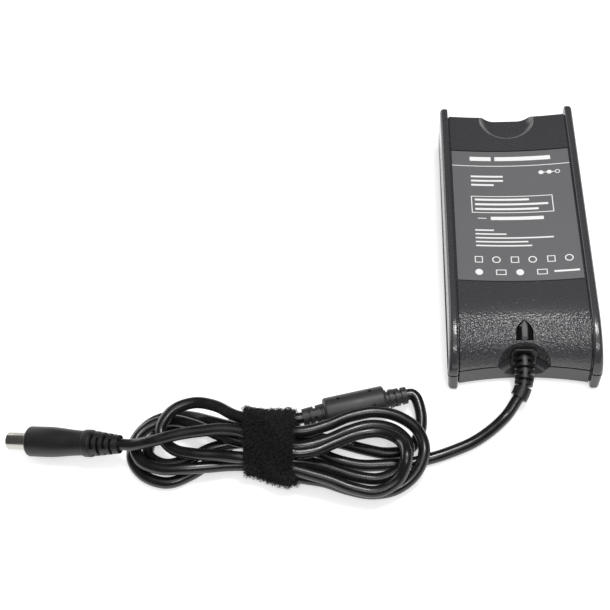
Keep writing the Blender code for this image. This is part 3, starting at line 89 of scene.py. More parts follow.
def add(tree, kind, inputs=None, **settings):
    """A node with its settings; an input is a value, or the socket that feeds it."""
    node = tree.nodes.new(kind)
    for name, value in settings.items():
        setattr(node, name, value)
    for key, value in (inputs or {}).items():
        if isinstance(value, bpy.types.NodeSocket):
            tree.links.new(value, node.inputs[key])
        else:
            node.inputs[key].default_value = value
    return node


def material_tree(name):
    """An empty material, its tree and its output node."""
    material = bpy.data.materials.new(name)
    material.use_nodes = True
    material.node_tree.nodes.clear()
    return material, material.node_tree, add(material.node_tree, "ShaderNodeOutputMaterial")


def studio_white():
    """Matt white paper, lifted to plain white where the camera or a glossy surface sees it."""
    material, tree, output = material_tree("white sweep")
    paper = add(tree, "ShaderNodeBsdfDiffuse", {"Color": linear(FLOOR_WHITE)})
    glow = add(tree, "ShaderNodeEmission", {"Color": (1, 1, 1, 1), "Strength": FLOOR_LIFT})
    lifted = add(tree, "ShaderNodeAddShader", {0: paper.outputs[0], 1: glow.outputs[0]})
    rays = add(tree, "ShaderNodeLightPath")
    seen = add(
        tree,
        "ShaderNodeMath",
        {0: rays.outputs["Is Camera Ray"], 1: rays.outputs["Is Glossy Ray"]},
        operation="MAXIMUM",
    )
    mix = add(tree, "ShaderNodeMixShader", {0: seen.outputs[0], 1: paper.outputs[0], 2: lifted.outputs[0]})
    tree.links.new(mix.outputs[0], output.inputs["Surface"])
    return material


floor_mesh = bpy.data.meshes.new("floor")
floor_corners = [(x * FLOOR_REACH, y * FLOOR_REACH, 0.0) for x, y in ((-1, -1), (1, -1), (1, 1), (-1, 1))]
floor_mesh.from_pydata(floor_corners, [], [(0, 1, 2, 3)])
floor_mesh.materials.append(studio_white())
floor = bpy.data.objects.new("floor", floor_mesh)
bpy.context.scene.collection.objects.link(floor)

world = bpy.data.worlds.new("studio")
bpy.context.scene.world = world
world.use_nodes = True
world.node_tree.nodes.clear()
world_rays = add(world.node_tree, "ShaderNodeLightPath")
world_mirrored = add(
    world.node_tree,
    "ShaderNodeMix",
    {0: world_rays.outputs["Is Glossy Ray"], 2: SURROUND_STRENGTH, 3: MIRRORED_SURROUND},
    data_type="FLOAT",
)
world_seen = add(
    world.node_tree,
    "ShaderNodeMix",
    {0: world_rays.outputs["Is Camera Ray"], 2: world_mirrored.outputs[0], 3: 1.0},
    data_type="FLOAT",
)
world_glow = add(
    world.node_tree, "ShaderNodeBackground", {"Color": (1, 1, 1, 1), "Strength": world_seen.outputs[0]}
)
add(world.node_tree, "ShaderNodeOutputWorld", {"Surface": world_glow.outputs[0]})

# (name, place, aim, width, height, watts)
SOFT_BOXES = (
    ("overhead box", (0.08, -0.30, 1.25), (0.08, -0.30, 0.0), 1.1, 1.0, 3.5),
    ("key lamp", (0.14, 0.04, 1.25), (0.0, -0.04, 0.0), 0.36, 0.20, 7.0),
    ("front lamp", (0.14, -0.80, 1.15), (0.0, -0.06, 0.0), 0.36, 0.22, 3.2),
    ("left box", (-1.00, 0.50, 0.22), (-0.03, 0.0, 0.02), 0.9, 0.35, 3.4),
)
for name, place, aim, width, height, watts in SOFT_BOXES:
    lamp = bpy.data.lights.new(name, "AREA")
    lamp.shape = "RECTANGLE"
    lamp.size = width
    lamp.size_y = height
    lamp.energy = watts
    box = bpy.data.objects.new(name, lamp)
    turn = (Vector(aim) - Vector(place)).to_track_quat("-Z", "Y")
    box.matrix_world = Matrix.Translation(place) @ turn.to_matrix().to_4x4()
    bpy.context.scene.collection.objects.link(box)

bpy.context.scene.view_settings.view_transform = "Standard"


# ---------------------------------------------------------------- top cover and bottom case
# Two ABS mouldings, welded at the parting line. The cover is hollow across its width between two
# proud rails, and its nose rolls down over the pocket for the cord. The mould is spark-eroded,
# which leaves a grain that sparkles where the nose turns to the light.

HALF_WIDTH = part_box("top_cover")[1].x
HALF_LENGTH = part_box("top_cover")[1].y
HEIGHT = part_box("top_cover")[1].z
PARTING = 0.011
SEAM = 0.0009
RAIL_INNER = HALF_WIDTH - 0.0046
RAIL_INNER_ROUND = 0.0011
RAIL_OUTER_ROUND = 0.0020
RAIL_DRAFT = math.tan(math.radians(3.2))
GROOVE_WIDTH = 0.0007
GROOVE_DEPTH = 0.0007
RAIL_CORNER = 0.004
RAIL_NOSE = 0.0275
CORE_OVERLAP = 0.0006
EDGE_TOP = HEIGHT - 0.0009
COVER_HOLLOW = 0.00175
UNDERSIDE = 0.0011
NOSE_Y = -HALF_LENGTH + 0.0052
NOSE_HOLLOW = 0.0028
NOSE_REACH = 0.027
NOSE_POWER = 2.3
TAIL_Y = HALF_LENGTH - 0.0052
CORE_CORNER = 0.0026
TOE_SHARE = 0.5
WALL = 0.002
SIDE_WALL = 0.0026
POCKET_RADIUS = 0.0135
POCKET_BACK_Y = NOSE_Y + 0.0057
POCKET_CENTRE_Y = POCKET_BACK_Y - POCKET_RADIUS
POCKET_BOTTOM = 0.0047
POCKET_FILLET = 0.0036
POCKET_FLARE = 0.0016
BOOT_HEIGHT = 0.0116
NECK_HALF = 0.0047
SCOOP_RADIUS = 0.0128
SCOOP_FLOOR = 0.0080
SCOOP_FROM_TAIL = 0.0058
SCOOP_DEPTH = 0.0032
SCOOP_TILT = math.radians(11)
LABEL_WIDTH = 0.055
LABEL_LENGTH = 0.079
LABEL_CENTRE_Y = 0.0053
LABEL_MARGIN = 0.0006
LABEL_RECESS = 0.0009
WINDOW_BASE_Y = POCKET_BACK_Y + 0.0009
WINDOW_HALF = 0.0034
WINDOW_LENGTH = 0.0083
WINDOW_STRAIGHT = 0.0028
WINDOW_GAP = 0.0003
INLET_HALF = (0.0118, 0.0077)
INLET_CENTRE_Z = 0.0113
EDGE_BREAK = 0.0002
SHARP = math.radians(32)
PROFILE_STEPS = 41
CORNER_STEPS = 6
ROUND_STEPS = 8
CORE_STATIONS = 61
POCKET_SIDES = 150
SCOOP_SIDES = 96
PIT_SIZE = 0.0009
PIT_DEPTH = 0.00035


def cover_height(x):
    """Height of the hollow top at a distance from the middle."""
    return EDGE_TOP - COVER_HOLLOW * (1 - min(abs(x) / RAIL_INNER, 1.0) ** 2)


def nose_front(x):
    """y of the nose's foremost point, which is hollow in plan too."""
    return NOSE_Y - NOSE_HOLLOW * min(abs(x) / RAIL_INNER, 1.0) ** 2


def nose_height(x, y):
    """Height of the cover's skin over its rolled nose, and behind it."""
    along = max(nose_front(x) + NOSE_REACH - y, 0.0) / NOSE_REACH
    return PARTING + (cover_height(x) - PARTING) * (1 - min(along, 1.0) ** NOSE_POWER) ** (1 / NOSE_POWER)


def side_outline(front, back, bottom, top, nose, corner, inset, steps):
    """(y, z) of the housing from the side: a rolled nose and three rounded corners."""
    points = []
    for angle in np.linspace(0, math.pi / 2, steps):
        y = front + nose - (nose - inset) * max(math.cos(angle), 0.0) ** (2 / NOSE_POWER)
        z = PARTING + (top - inset - PARTING) * max(math.sin(angle), 0.0) ** (2 / NOSE_POWER)
        points.append((y, z))
    radius = max(corner - inset, corner / 4)
    toe = max(corner * TOE_SHARE - inset, corner / 5)
    corners = (
        (back - inset - radius, top - inset - radius, radius, 90),
        (back - inset - radius, bottom + inset + radius, radius, 0),
        (front + inset + toe, bottom + inset + toe, toe, -90),
    )
    for y, z, radius, start in corners:
        for k in range(CORNER_STEPS + 1):
            angle = math.radians(start - 90 / CORNER_STEPS * k)
            points.append((y + radius * math.cos(angle), z + radius * math.sin(angle)))
    return points


def skin(name, rings, closed=False):
    """A mesh over rings of equally many points, capped at both ends or joined into a loop."""
    shape = bmesh.new()
    rows = [[shape.verts.new(point) for point in ring] for ring in rings]
    pairs = list(zip(rows, rows[1:]))
    if closed:
        pairs.append((rows[-1], rows[0]))
    else:
        shape.faces.new(rows[0])
        shape.faces.new(rows[-1])
    for first, second in pairs:
        for i in range(len(first)):
            j = (i + 1) % len(first)
            shape.faces.new((first[i], first[j], second[j], second[i]))
    bmesh.ops.recalc_face_normals(shape, faces=shape.faces)
    mesh = bpy.data.meshes.new(name)
    shape.to_mesh(mesh)
    shape.free()
    return mesh


def link(name, mesh):
    """A mesh object in the scene."""
    item = bpy.data.objects.new(name, mesh)
    bpy.context.scene.collection.objects.link(item)
    return item


def evaluated(item, name):
    """A plain mesh of an object with its modifiers applied; the object is removed."""
    bpy.context.view_layer.update()
    mesh = bpy.data.meshes.new_from_object(item.evaluated_get(bpy.context.evaluated_depsgraph_get()))
    mesh.transform(item.matrix_world)
    mesh.name = name
    bpy.data.objects.remove(item)
    return mesh


def carve(mesh, name, cuts, operation="DIFFERENCE"):
    """The mesh with these shapes cut away from it, or joined to it."""
    item = link(name, mesh)
    tools = []
    for cut in cuts:
        tool = link("cut", cut)
        tools.append(tool)
        modifier = item.modifiers.new("cut", "BOOLEAN")
        modifier.operation = operation
        modifier.solver = "EXACT"
        modifier.object = tool
    result = evaluated(item, name)
    for tool in tools:
        bpy.data.objects.remove(tool)
    return result


def soften(mesh, sharp=SHARP):
    """Smooth shading, kept crisp over edges sharper than an angle."""
    mesh.shade_smooth()
    mesh.set_sharp_from_angle(angle=sharp)
    return mesh


def level_flats(mesh):
    """The mesh with normals weighted by area, so that flat faces shade flat up to their edges."""
    item = link("levelled", soften(mesh))
    levelled = item.modifiers.new("normals", "WEIGHTED_NORMAL")
    levelled.keep_sharp = True
    return evaluated(item, mesh.name)


def break_edges(mesh, width, angle=math.radians(38), segments=2):
    """The mesh with its sharp edges rounded a little, as a mould leaves them."""
    item = link("broken", mesh)
    bevel = item.modifiers.new("edges", "BEVEL")
    bevel.limit_method = "ANGLE"
    bevel.angle_limit = angle
    bevel.width = width
    bevel.segments = segments
    bevel.use_clamp_overlap = True
    return evaluated(item, mesh.name)


def block(low, high):
    """A plain box between two corners."""
    shape = bmesh.new()
    bmesh.ops.create_cube(shape, size=1.0)
    bmesh.ops.scale(shape, vec=Vector(high) - Vector(low), verts=shape.verts)
    bmesh.ops.translate(shape, vec=(Vector(low) + Vector(high)) / 2, verts=shape.verts)
    mesh = bpy.data.meshes.new("block")
    shape.to_mesh(mesh)
    shape.free()
    return mesh


def core_form(inset, half_width, stations, steps, groove=0.0):
    """The housing between its rails; on the outside it sinks into a groove along each rail."""
    places = [(x, 0.0) for x in np.linspace(-half_width, half_width, stations)]
    if groove:
        ends = ((RAIL_INNER - 0.3 * GROOVE_WIDTH, groove), (RAIL_INNER + CORE_OVERLAP, groove))
        places = [(-x, sink) for x, sink in ends[::-1]] + places + list(ends)
    rings = []
    for x, sink in places:
        outline = side_outline(
            nose_front(x), TAIL_Y, UNDERSIDE, cover_height(x), NOSE_REACH, CORE_CORNER, inset + sink, steps
        )
        rings.append([(x, y, z) for y, z in outline])
    return skin("core", rings)


def rail_form(side):
    """A rail, rounded along its edges; its outer face leans in away from the parting line."""
    rings = []
    for face, turn, radius in ((RAIL_INNER, 1, RAIL_INNER_ROUND), (HALF_WIDTH, -1, RAIL_OUTER_ROUND)):
        for step in range(ROUND_STEPS + 1)[::turn]:
            angle = math.pi / 2 / ROUND_STEPS * step
            x = face + turn * radius * (1 - math.cos(angle))
            inset = radius * (1 - math.sin(angle))
            outline = side_outline(
                -HALF_LENGTH, HALF_LENGTH, 0.0, HEIGHT, RAIL_NOSE, RAIL_CORNER, inset, PROFILE_STEPS
            )
            lean = RAIL_DRAFT * (x - RAIL_INNER) / (HALF_WIDTH - RAIL_INNER)
            rings.append([(side * (x - lean * abs(z - PARTING)), y, z) for y, z in outline])
    return skin("rail", rings)


def pocket_form(grow, fillet):
    """The pocket round the boot: an upright drum that bites into the nose. Its foot is round and
    its wall draws in below the parting line."""
    radius = POCKET_RADIUS + grow
    bottom = POCKET_BOTTOM - 2 * grow
    foot = radius - POCKET_FLARE
    profile = [
        (foot - fillet * (1 - math.sin(a)), bottom + fillet * (1 - math.cos(a)))
        for a in np.linspace(0, math.pi / 2, ROUND_STEPS + 1)
    ]
    profile += [(radius, PARTING), (radius, HEIGHT + WALL)]
    rings = []
    for reach, z in profile:
        angles = (np.arange(POCKET_SIDES) + 0.5) * 2 * math.pi / POCKET_SIDES
        rings.append([(reach * math.cos(a), POCKET_CENTRE_Y + reach * math.sin(a), z) for a in angles])
    return skin("pocket", rings)


def scoop_form(grow):
    """The thumb scoop: a shallow dish, tilted towards the inlet, steepening to a crisp rim."""
    run = SCOOP_RADIUS - SCOOP_FLOOR
    profile = [(SCOOP_FLOOR + grow + run * u, SCOOP_DEPTH * u**2) for u in np.linspace(0, 1, 10)]
    profile.append((profile[-1][0] + 1.2 * run, profile[-1][1] + 2.4 * SCOOP_DEPTH))
    rings = []
    for radius, z in profile:
        angles = (np.arange(SCOOP_SIDES) + 0.5) * 2 * math.pi / SCOOP_SIDES
        rings.append([(radius * math.cos(a), radius * math.sin(a), z) for a in angles])
    mesh = skin("scoop", rings)
    place = Matrix.Translation((0, TAIL_Y - SCOOP_FROM_TAIL, cover_height(0) - SCOOP_DEPTH - grow))
    mesh.transform(place @ Matrix.Rotation(-SCOOP_TILT, 4, "X"))
    return mesh


def window_outline(grow):
    """The pointed arch of the indicator window, seen from above."""
    half = WINDOW_HALF + grow
    arch = WINDOW_LENGTH - WINDOW_STRAIGHT + grow
    right = [(half, WINDOW_BASE_Y - grow)]
    for u in np.linspace(0, 1, 13):
        right.append((half * (1 - u**1.9) ** 0.93, WINDOW_BASE_Y + WINDOW_STRAIGHT + arch * u))
    return right + [(-x, y) for x, y in right[-2::-1]]


def following(width, length, centre_y, top, bottom, stations):
    """A sheet that follows the hollow of the cover, between two depths below it."""
    rings = []
    for x in np.linspace(-width / 2, width / 2, stations):
        low, high = centre_y - length / 2, centre_y + length / 2
        z = cover_height(x)
        rings.append([(x, low, z - bottom), (x, high, z - bottom), (x, high, z - top), (x, low, z - top)])
    return skin("following", rings)


def housing():
    """Both shells in one, hollowed and with every opening cut."""
    core = core_form(0.0, RAIL_INNER - GROOVE_WIDTH, CORE_STATIONS, PROFILE_STEPS, GROOVE_DEPTH)
    solid = carve(core, "housing", [rail_form(1), rail_form(-1)], "UNION")
    hollow = core_form(WALL, HALF_WIDTH - SIDE_WALL, 11, 9)
    hollow = carve(hollow, "hollow", [pocket_form(WALL, 0.0005), scoop_form(WALL)])
    window = [[(x, y, z) for x, y in window_outline(WINDOW_GAP)] for z in (PARTING + WALL, HEIGHT + WALL)]
    recess_width = LABEL_WIDTH + 2 * LABEL_MARGIN
    recess_length = LABEL_LENGTH + 2 * LABEL_MARGIN
    cuts = [
        hollow,
        pocket_form(0.0, POCKET_FILLET),
        scoop_form(0.0),
        following(recess_width, recess_length, LABEL_CENTRE_Y, -WALL, LABEL_RECESS, 41),
        skin("window", window),
        block(
            (-INLET_HALF[0], TAIL_Y - 2 * WALL, INLET_CENTRE_Z - INLET_HALF[1]),
            (INLET_HALF[0], HALF_LENGTH, INLET_CENTRE_Z + INLET_HALF[1]),
        ),
        block(
            (-NECK_HALF, POCKET_BACK_Y - 2 * WALL, BOOT_HEIGHT - NECK_HALF),
            (NECK_HALF, POCKET_BACK_Y + 2 * WALL, BOOT_HEIGHT + NECK_HALF),
        ),
    ]
    return carve(solid, "housing", cuts)


def eroded_abs():
    """Injection-moulded ABS from a spark-eroded mould: near black, with a grain of rounded pits
    that glitters where the nose turns to the light. The mould's flats and rails have worn smooth
    but for stray pits. The grain is twice as coarse as in life, to show. The outer flanks were
    polished to leave the mould, and mirror the ground beside them."""
    material, tree, output = material_tree("spark-textured charcoal ABS")
    place = add(tree, "ShaderNodeTexCoord").outputs["Object"]
    across, along, up = add(tree, "ShaderNodeSeparateXYZ", {0: place}).outputs
    off_middle = add(tree, "ShaderNodeMath", {0: across}, operation="ABSOLUTE").outputs[0]
    pits = add(
        tree, "ShaderNodeTexVoronoi", {"Vector": place, "Scale": 1 / PIT_SIZE}, feature="SMOOTH_F1"
    )
    to_stray_pit = add(tree, "ShaderNodeTexVoronoi", {"Vector": place, "Scale": 1 / (3 * PIT_SIZE)})
    grain = add(tree, "ShaderNodeTexNoise", {"Vector": place, "Scale": 1.3 / PIT_SIZE, "Detail": 2.0})
    cloud = add(tree, "ShaderNodeTexNoise", {"Vector": place, "Scale": 28.0, "Detail": 2.0})
    height = add(tree, "ShaderNodeMath", {0: grain.outputs[0], 1: pits.outputs[0]}, operation="ADD")
    level = {}
    for name, measure, start, end, first, last in (
        ("flank", off_middle, HALF_WIDTH - 0.0016, HALF_WIDTH - 0.0009, 0.0, 1.0),
        ("above parting", up, PARTING - 0.0002, PARTING + 0.0018, 0.12, 0.75),
        ("nose", along, NOSE_Y + 0.0125, NOSE_Y + 0.0195, 1.0, 0.16),
        ("inside rails", off_middle, RAIL_INNER - 0.0008, RAIL_INNER, 1.0, 0.2),
        ("stray pit", to_stray_pit.outputs["Distance"], 0.12, 0.24, 1.0, 0.0),
    ):
        fade = add(tree, "ShaderNodeMapRange", {0: measure, 1: start, 2: end, 3: first, 4: last})
        level[name] = fade.outputs[0]
    pitted = add(tree, "ShaderNodeMath", {0: level["nose"], 1: level["stray pit"]}, operation="MAXIMUM")
    eroded = add(
        tree, "ShaderNodeMath", {0: level["above parting"], 1: pitted.outputs[0]}, operation="MULTIPLY"
    )
    eroded = add(
        tree, "ShaderNodeMath", {0: eroded.outputs[0], 1: level["inside rails"]}, operation="MULTIPLY"
    )
    depth = add(
        tree, "ShaderNodeMix", {0: level["flank"], 2: eroded.outputs[0], 3: 0.03}, data_type="FLOAT"
    )
    bump = add(
        tree,
        "ShaderNodeBump",
        {"Height": height.outputs[0], "Strength": depth.outputs[0], "Distance": PIT_DEPTH},
    )
    colour = add(
        tree,
        "ShaderNodeMix",
        {0: cloud.outputs[0], 6: linear("#37373A"), 7: linear("#3D3D3F")},
        data_type="RGBA",
    )
    uneven = add(tree, "ShaderNodeMapRange", {0: grain.outputs[0], 1: 0.3, 2: 0.7, 3: 0.14, 4: 0.22})
    dull = add(tree, "ShaderNodeMapRange", {0: level["nose"], 1: 0.16, 2: 1.0, 3: 0.10, 4: 0.0})
    matt = add(tree, "ShaderNodeMath", {0: uneven.outputs[0], 1: dull.outputs[0]}, operation="ADD")
    rough = add(tree, "ShaderNodeMix", {0: level["flank"], 2: matt.outputs[0], 3: 0.14}, data_type="FLOAT")
    shader = add(
        tree,
        "ShaderNodeBsdfPrincipled",
        {
            "Base Color": colour.outputs[2],
            "Roughness": rough.outputs[0],
            "Normal": bump.outputs[0],
            "IOR": 1.52,
        },
    )
    tree.links.new(shader.outputs[0], output.inputs["Surface"])
    return material


charcoal = eroded_abs()
both_shells = housing()
far = 4 * HALF_LENGTH
for name, low, high in (
    ("top_cover", -far, PARTING + SEAM / 2),
    ("bottom_case", PARTING - SEAM / 2, far),
):
    shell = carve(both_shells.copy(), name, [block((-far, -far, low), (far, far, high))])
    shell.materials.clear()
    shell.materials.append(charcoal)
    shell = level_flats(break_edges(shell, EDGE_BREAK))
    piece = link(name + "_shell", shell)
    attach(piece, "root")
    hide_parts(name)


# ---------------------------------------------------------------- rating label
# A satin grey film with a die-cut edge, glued in its recess. Its print is plain rules, bars and
# simple shapes in white ink.

LABEL_SINK = 0.0001
LABEL_THICKNESS = 0.0005
INK_RISE = 0.00002
RULE = 0.00042
INK_STEP = 0.0015


def label_film():
    """Printed polyester film: an even satin grey with the faintest orange peel."""
    material, tree, output = material_tree("satin grey polyester film")
    place = add(tree, "ShaderNodeTexCoord").outputs["Object"]
    peel = add(tree, "ShaderNodeTexNoise", {"Vector": place, "Scale": 900.0, "Detail": 2.0})
    bump = add(tree, "ShaderNodeBump", {"Height": peel.outputs[0], "Strength": 0.08, "Distance": 0.0001})
    shade = add(tree, "ShaderNodeTexNoise", {"Vector": place, "Scale": 40.0, "Detail": 1.0})
    colour = add(
        tree,
        "ShaderNodeMix",
        {0: shade.outputs[0], 6: linear("#606062"), 7: linear("#646466")},
        data_type="RGBA",
    )
    shader = add(
        tree,
        "ShaderNodeBsdfPrincipled",
        {"Base Color": colour.outputs[2], "Roughness": 0.52, "Normal": bump.outputs[0], "IOR": 1.5},
    )
    tree.links.new(shader.outputs[0], output.inputs["Surface"])
    return material


def white_ink():
    """Screen-printed white ink, a little uneven where it lies thin."""
    material, tree, output = material_tree("screen-printed white ink")
    place = add(tree, "ShaderNodeTexCoord").outputs["Object"]
    thin = add(tree, "ShaderNodeTexNoise", {"Vector": place, "Scale": 1600.0, "Detail": 2.0})
    colour = add(
        tree,
        "ShaderNodeMix",
        {0: thin.outputs[0], 6: linear("#DCDCDC"), 7: linear("#F4F4F4")},
        data_type="RGBA",
    )
    shader = add(tree, "ShaderNodeBsdfPrincipled", {"Base Color": colour.outputs[2], "Roughness": 0.6})
    tree.links.new(shader.outputs[0], output.inputs["Surface"])
    return material


film = following(LABEL_WIDTH, LABEL_LENGTH, LABEL_CENTRE_Y, LABEL_SINK, LABEL_SINK + LABEL_THICKNESS, 49)
film.materials.append(label_film())
piece = link("label_film", soften(film))
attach(piece, "root")
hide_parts("rating_label")


def printed(strips):
    """Thin patches of ink that follow the label: each a grid over (x, y) that curves with it."""
    shape = bmesh.new()
    for outline in strips:
        rows = []
        for left, right in outline:
            count = max(int((right[0] - left[0]) / INK_STEP), 1) + 1
            row = []
            for u in np.linspace(0, 1, count):
                x = left[0] + (right[0] - left[0]) * u
                y = left[1] + (right[1] - left[1]) * u
                row.append((x, y))
            rows.append(row)
        for low, high in zip(rows, rows[1:]):
            count = min(len(low), len(high))
            lines = []
            for row in (low, high):
                marks = np.linspace(0, len(row) - 1, count)
                line = []
                for mark in marks:
                    x = np.interp(mark, range(len(row)), [p[0] for p in row])
                    y = np.interp(mark, range(len(row)), [p[1] for p in row])
                    line.append(shape.verts.new((x, y, cover_height(x) - LABEL_SINK + INK_RISE)))
                lines.append(line)
            for i in range(count - 1):
                shape.faces.new((lines[0][i], lines[0][i + 1], lines[1][i + 1], lines[1][i]))
    bmesh.ops.recalc_face_normals(shape, faces=shape.faces)
    for face in shape.faces:
        if face.normal.z < 0:
            face.normal_flip()
    mesh = bpy.data.meshes.new("print")
    shape.to_mesh(mesh)
    shape.free()
    return mesh


def bar(x, y, width, height):
    """A bar of ink from its left end, centred on y; both in label measures."""
    low = LABEL_CENTRE_Y + y - height / 2
    return [((x, low), (x + width, low)), ((x, low + height), (x + width, low + height))]


def frame_bars(x, y, width, height, line=RULE):
    """The four bars of an open frame, from its lower left corner."""
    return [
        bar(x, y, width, line),
        bar(x, y + height, width, line),
        bar(x, y + height / 2, line, height),
        bar(x + width - line, y + height / 2, line, height),
    ]


def ring_strips(x, y, outer, inner, sides=20):
    """A ring or, with no inner radius, a dot of ink."""
    strips = []
    for k in range(sides):
        a, b = (2 * math.pi * (k + j) / sides for j in (0, 1))
        corners = ((inner, a), (outer, a), (outer, b), (inner, b))
        points = [(x + r * math.cos(t), LABEL_CENTRE_Y + y + r * math.sin(t)) for r, t in corners]
        strips.append([(points[0], points[1]), (points[3], points[2])])
    return strips


def label_print():
    """Heading bars, rules, a framed table of plain bars and two rows of simple shapes."""
    half = LABEL_WIDTH / 2
    strips = [bar(-half, 0.0300, LABEL_WIDTH, RULE)]
    strips += [bar(-0.0190, 0.0347, 0.0100, 0.0026), bar(-0.0072, 0.0347, 0.0262, 0.0026)]
    strips += [bar(-0.0190, 0.0232, 0.0150, 0.0011), bar(-0.0190, 0.0205, 0.0150, 0.0011)]
    strips += [bar(-0.0190, 0.0178, 0.0105, 0.0011)]
    for x, inner in ((0.0140, 0.0), (0.0178, 0.0), (0.0216, 0.0008)):
        strips += ring_strips(x, 0.0252, 0.0012, inner)
    strips.append(bar(0.0140, 0.0252, 0.0066, RULE))
    strips += frame_bars(-0.0195, 0.0005, 0.0375, 0.0100)
    for row, width in enumerate((0.0250, 0.0335, 0.0290)):
        strips.append(bar(-0.0178, 0.0085 - 0.0029 * row, width, 0.0012))
    strips += [bar(-0.0110, -0.0030, 0.0240, 0.0020), bar(-0.0170, -0.0030, 0.0040, RULE)]
    for row, width in enumerate((0.0085, 0.0140, 0.0350, 0.0235, 0.0250)):
        strips.append(bar(-0.0185, -0.0102 - 0.0023 * row, width, 0.0008))
    for place in range(6):
        x = -0.0195 + 0.0080 * place
        if place % 2:
            strips += ring_strips(x + 0.0016, -0.0275, 0.0019, 0.0014)
        else:
            strips += frame_bars(x, -0.0291, 0.0036, 0.0032)
    for place in range(4):
        x = -0.0195 + 0.0090 * place
        if place % 2:
            strips += frame_bars(x, -0.0360, 0.0046, 0.0026)
        else:
            strips += ring_strips(x + 0.0016, -0.0347, 0.0017, 0.0)
    strips.append(bar(0.0150, -0.0347, 0.0110, 0.0010))
    return strips


ink = printed(label_print())
ink.materials.append(white_ink())
piece = link("label_print", ink)
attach(piece, "root")


# ---------------------------------------------------------------- indicator window
# A smoked acrylic light pipe, pointed like an arch and crowned like a small boat. Its middle is
# frosted to spread the lamp's light, and painted a lighter grey as a highlight along the crown.

LENS_CROWN = 0.0013
LENS_DEPTH = 0.003
LENS_SINK = 0.0004
LENS_RINGS = 12
CROWN_BAND_HALF = 0.0012


def smoked_acrylic():
    """Polished smoked acrylic: near black and mirror smooth, but for the frosted middle band. That
    band's lighter grey is a painted highlight.
    """
    material, tree, output = material_tree("smoked acrylic light pipe")
    place = add(tree, "ShaderNodeTexCoord").outputs["Object"]
    axes = add(tree, "ShaderNodeSeparateXYZ", {0: place})
    across = add(tree, "ShaderNodeMath", {0: axes.outputs[0]}, operation="ABSOLUTE")
    frost_and_painted_sheen = add(
        tree,
        "ShaderNodeMapRange",
        {0: across.outputs[0], 1: CROWN_BAND_HALF * 0.8, 2: CROWN_BAND_HALF * 1.25, 3: 1.0, 4: 0.0},
    )
    grain = add(tree, "ShaderNodeTexNoise", {"Vector": place, "Scale": 2600.0, "Detail": 2.0})
    grit = add(tree, "ShaderNodeMath", {0: grain.outputs[0], 1: frost_and_painted_sheen.outputs[0]}, operation="MULTIPLY")
    bump = add(tree, "ShaderNodeBump", {"Height": grit.outputs[0], "Strength": 0.5, "Distance": 0.0002})
    # The middle band's lighter grey is a painted highlight along the crown; its roughness and grit are
    # frosting.
    colour = add(
        tree,
        "ShaderNodeMix",
        {0: frost_and_painted_sheen.outputs[0], 6: linear("#0C0C0D"), 7: linear("#48484A")},
        data_type="RGBA",
    )
    rough = add(tree, "ShaderNodeMapRange", {0: frost_and_painted_sheen.outputs[0], 1: 0.0, 2: 1.0, 3: 0.08, 4: 0.42})
    shader = add(
        tree,
        "ShaderNodeBsdfPrincipled",
        {
            "Base Color": colour.outputs[2],
            "Roughness": rough.outputs[0],
            "Normal": bump.outputs[0],
            "IOR": 1.49,
        },
    )
    tree.links.new(shader.outputs[0], output.inputs["Surface"])
    return material


def lens():
    """Rings drawn in from the arch's outline to its spine; the crown rises towards the middle."""
    outline = window_outline(0.0)
    spine_y = WINDOW_BASE_Y + WINDOW_LENGTH / 2
    rings = []
    base = [(x, y, nose_height(x, y) - LENS_DEPTH) for x, y in outline]
    rings.append(base)
    for inward in np.linspace(0, 0.97, LENS_RINGS):
        ring = []
        for x, y in outline:
            near = x * (1 - inward)
            along = spine_y + (y - spine_y) * (1 - inward * 0.25)
            rise = LENS_CROWN * min(inward / (1 - CROWN_BAND_HALF / WINDOW_HALF), 1.0) - LENS_SINK
            ring.append((near, along, nose_height(near, along) + rise))
        rings.append(ring)
    return skin("lens", rings)


lens_mesh = soften(lens(), math.radians(50))
lens_mesh.materials.append(smoked_acrylic())
piece = link("window_lens", lens_mesh)
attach(piece, "root")
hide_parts("led_window")


# ---------------------------------------------------------------- mains inlet
# A black PBT block with a cloverleaf well and three nickel-plated pins, pressed in from behind.


def smooth_copy(node, sharp=SHARP):
    """A CAD node's mesh with its loose triangles merged and its round faces shaded smooth."""
    mesh = NODES[node].data.copy()
    shape = bmesh.new()
    shape.from_mesh(mesh)
    bmesh.ops.remove_doubles(shape, verts=shape.verts, dist=0.000002)
    bmesh.ops.dissolve_limit(shape, angle_limit=0.0005, verts=shape.verts, edges=shape.edges)
    shape.to_mesh(mesh)
    shape.free()
    mesh.materials.clear()
    return soften(mesh, sharp)


def dressed(node, material, sharp=SHARP):
    """A CAD node's own form in a finish of its own."""
    mesh = smooth_copy(node, sharp)
    mesh.materials.append(material)
    item = link(node + "_piece", mesh)
    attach(item, "root")
    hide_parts(node)
    return item


def moulded(name, low, high, roughness, grain_size, depth):
    """A moulded plastic or rubber between two close shades, with a grain of a real size."""
    material, tree, output = material_tree(name)
    place = add(tree, "ShaderNodeTexCoord").outputs["Object"]
    grain = add(tree, "ShaderNodeTexNoise", {"Vector": place, "Scale": 1 / grain_size, "Detail": 3.0})
    cloud = add(tree, "ShaderNodeTexNoise", {"Vector": place, "Scale": 90.0, "Detail": 3.0})
    bump = add(tree, "ShaderNodeBump", {"Height": grain.outputs[0], "Strength": 0.35, "Distance": depth})
    colour = add(
        tree, "ShaderNodeMix", {0: cloud.outputs[0], 6: linear(low), 7: linear(high)}, data_type="RGBA"
    )
    rough = add(
        tree,
        "ShaderNodeMapRange",
        {0: cloud.outputs[0], 1: 0.3, 2: 0.7, 3: roughness - 0.05, 4: roughness + 0.05},
    )
    shader = add(
        tree,
        "ShaderNodeBsdfPrincipled",
        {
            "Base Color": colour.outputs[2],
            "Roughness": rough.outputs[0],
            "Normal": bump.outputs[0],
        },
    )
    tree.links.new(shader.outputs[0], output.inputs["Surface"])
    return material


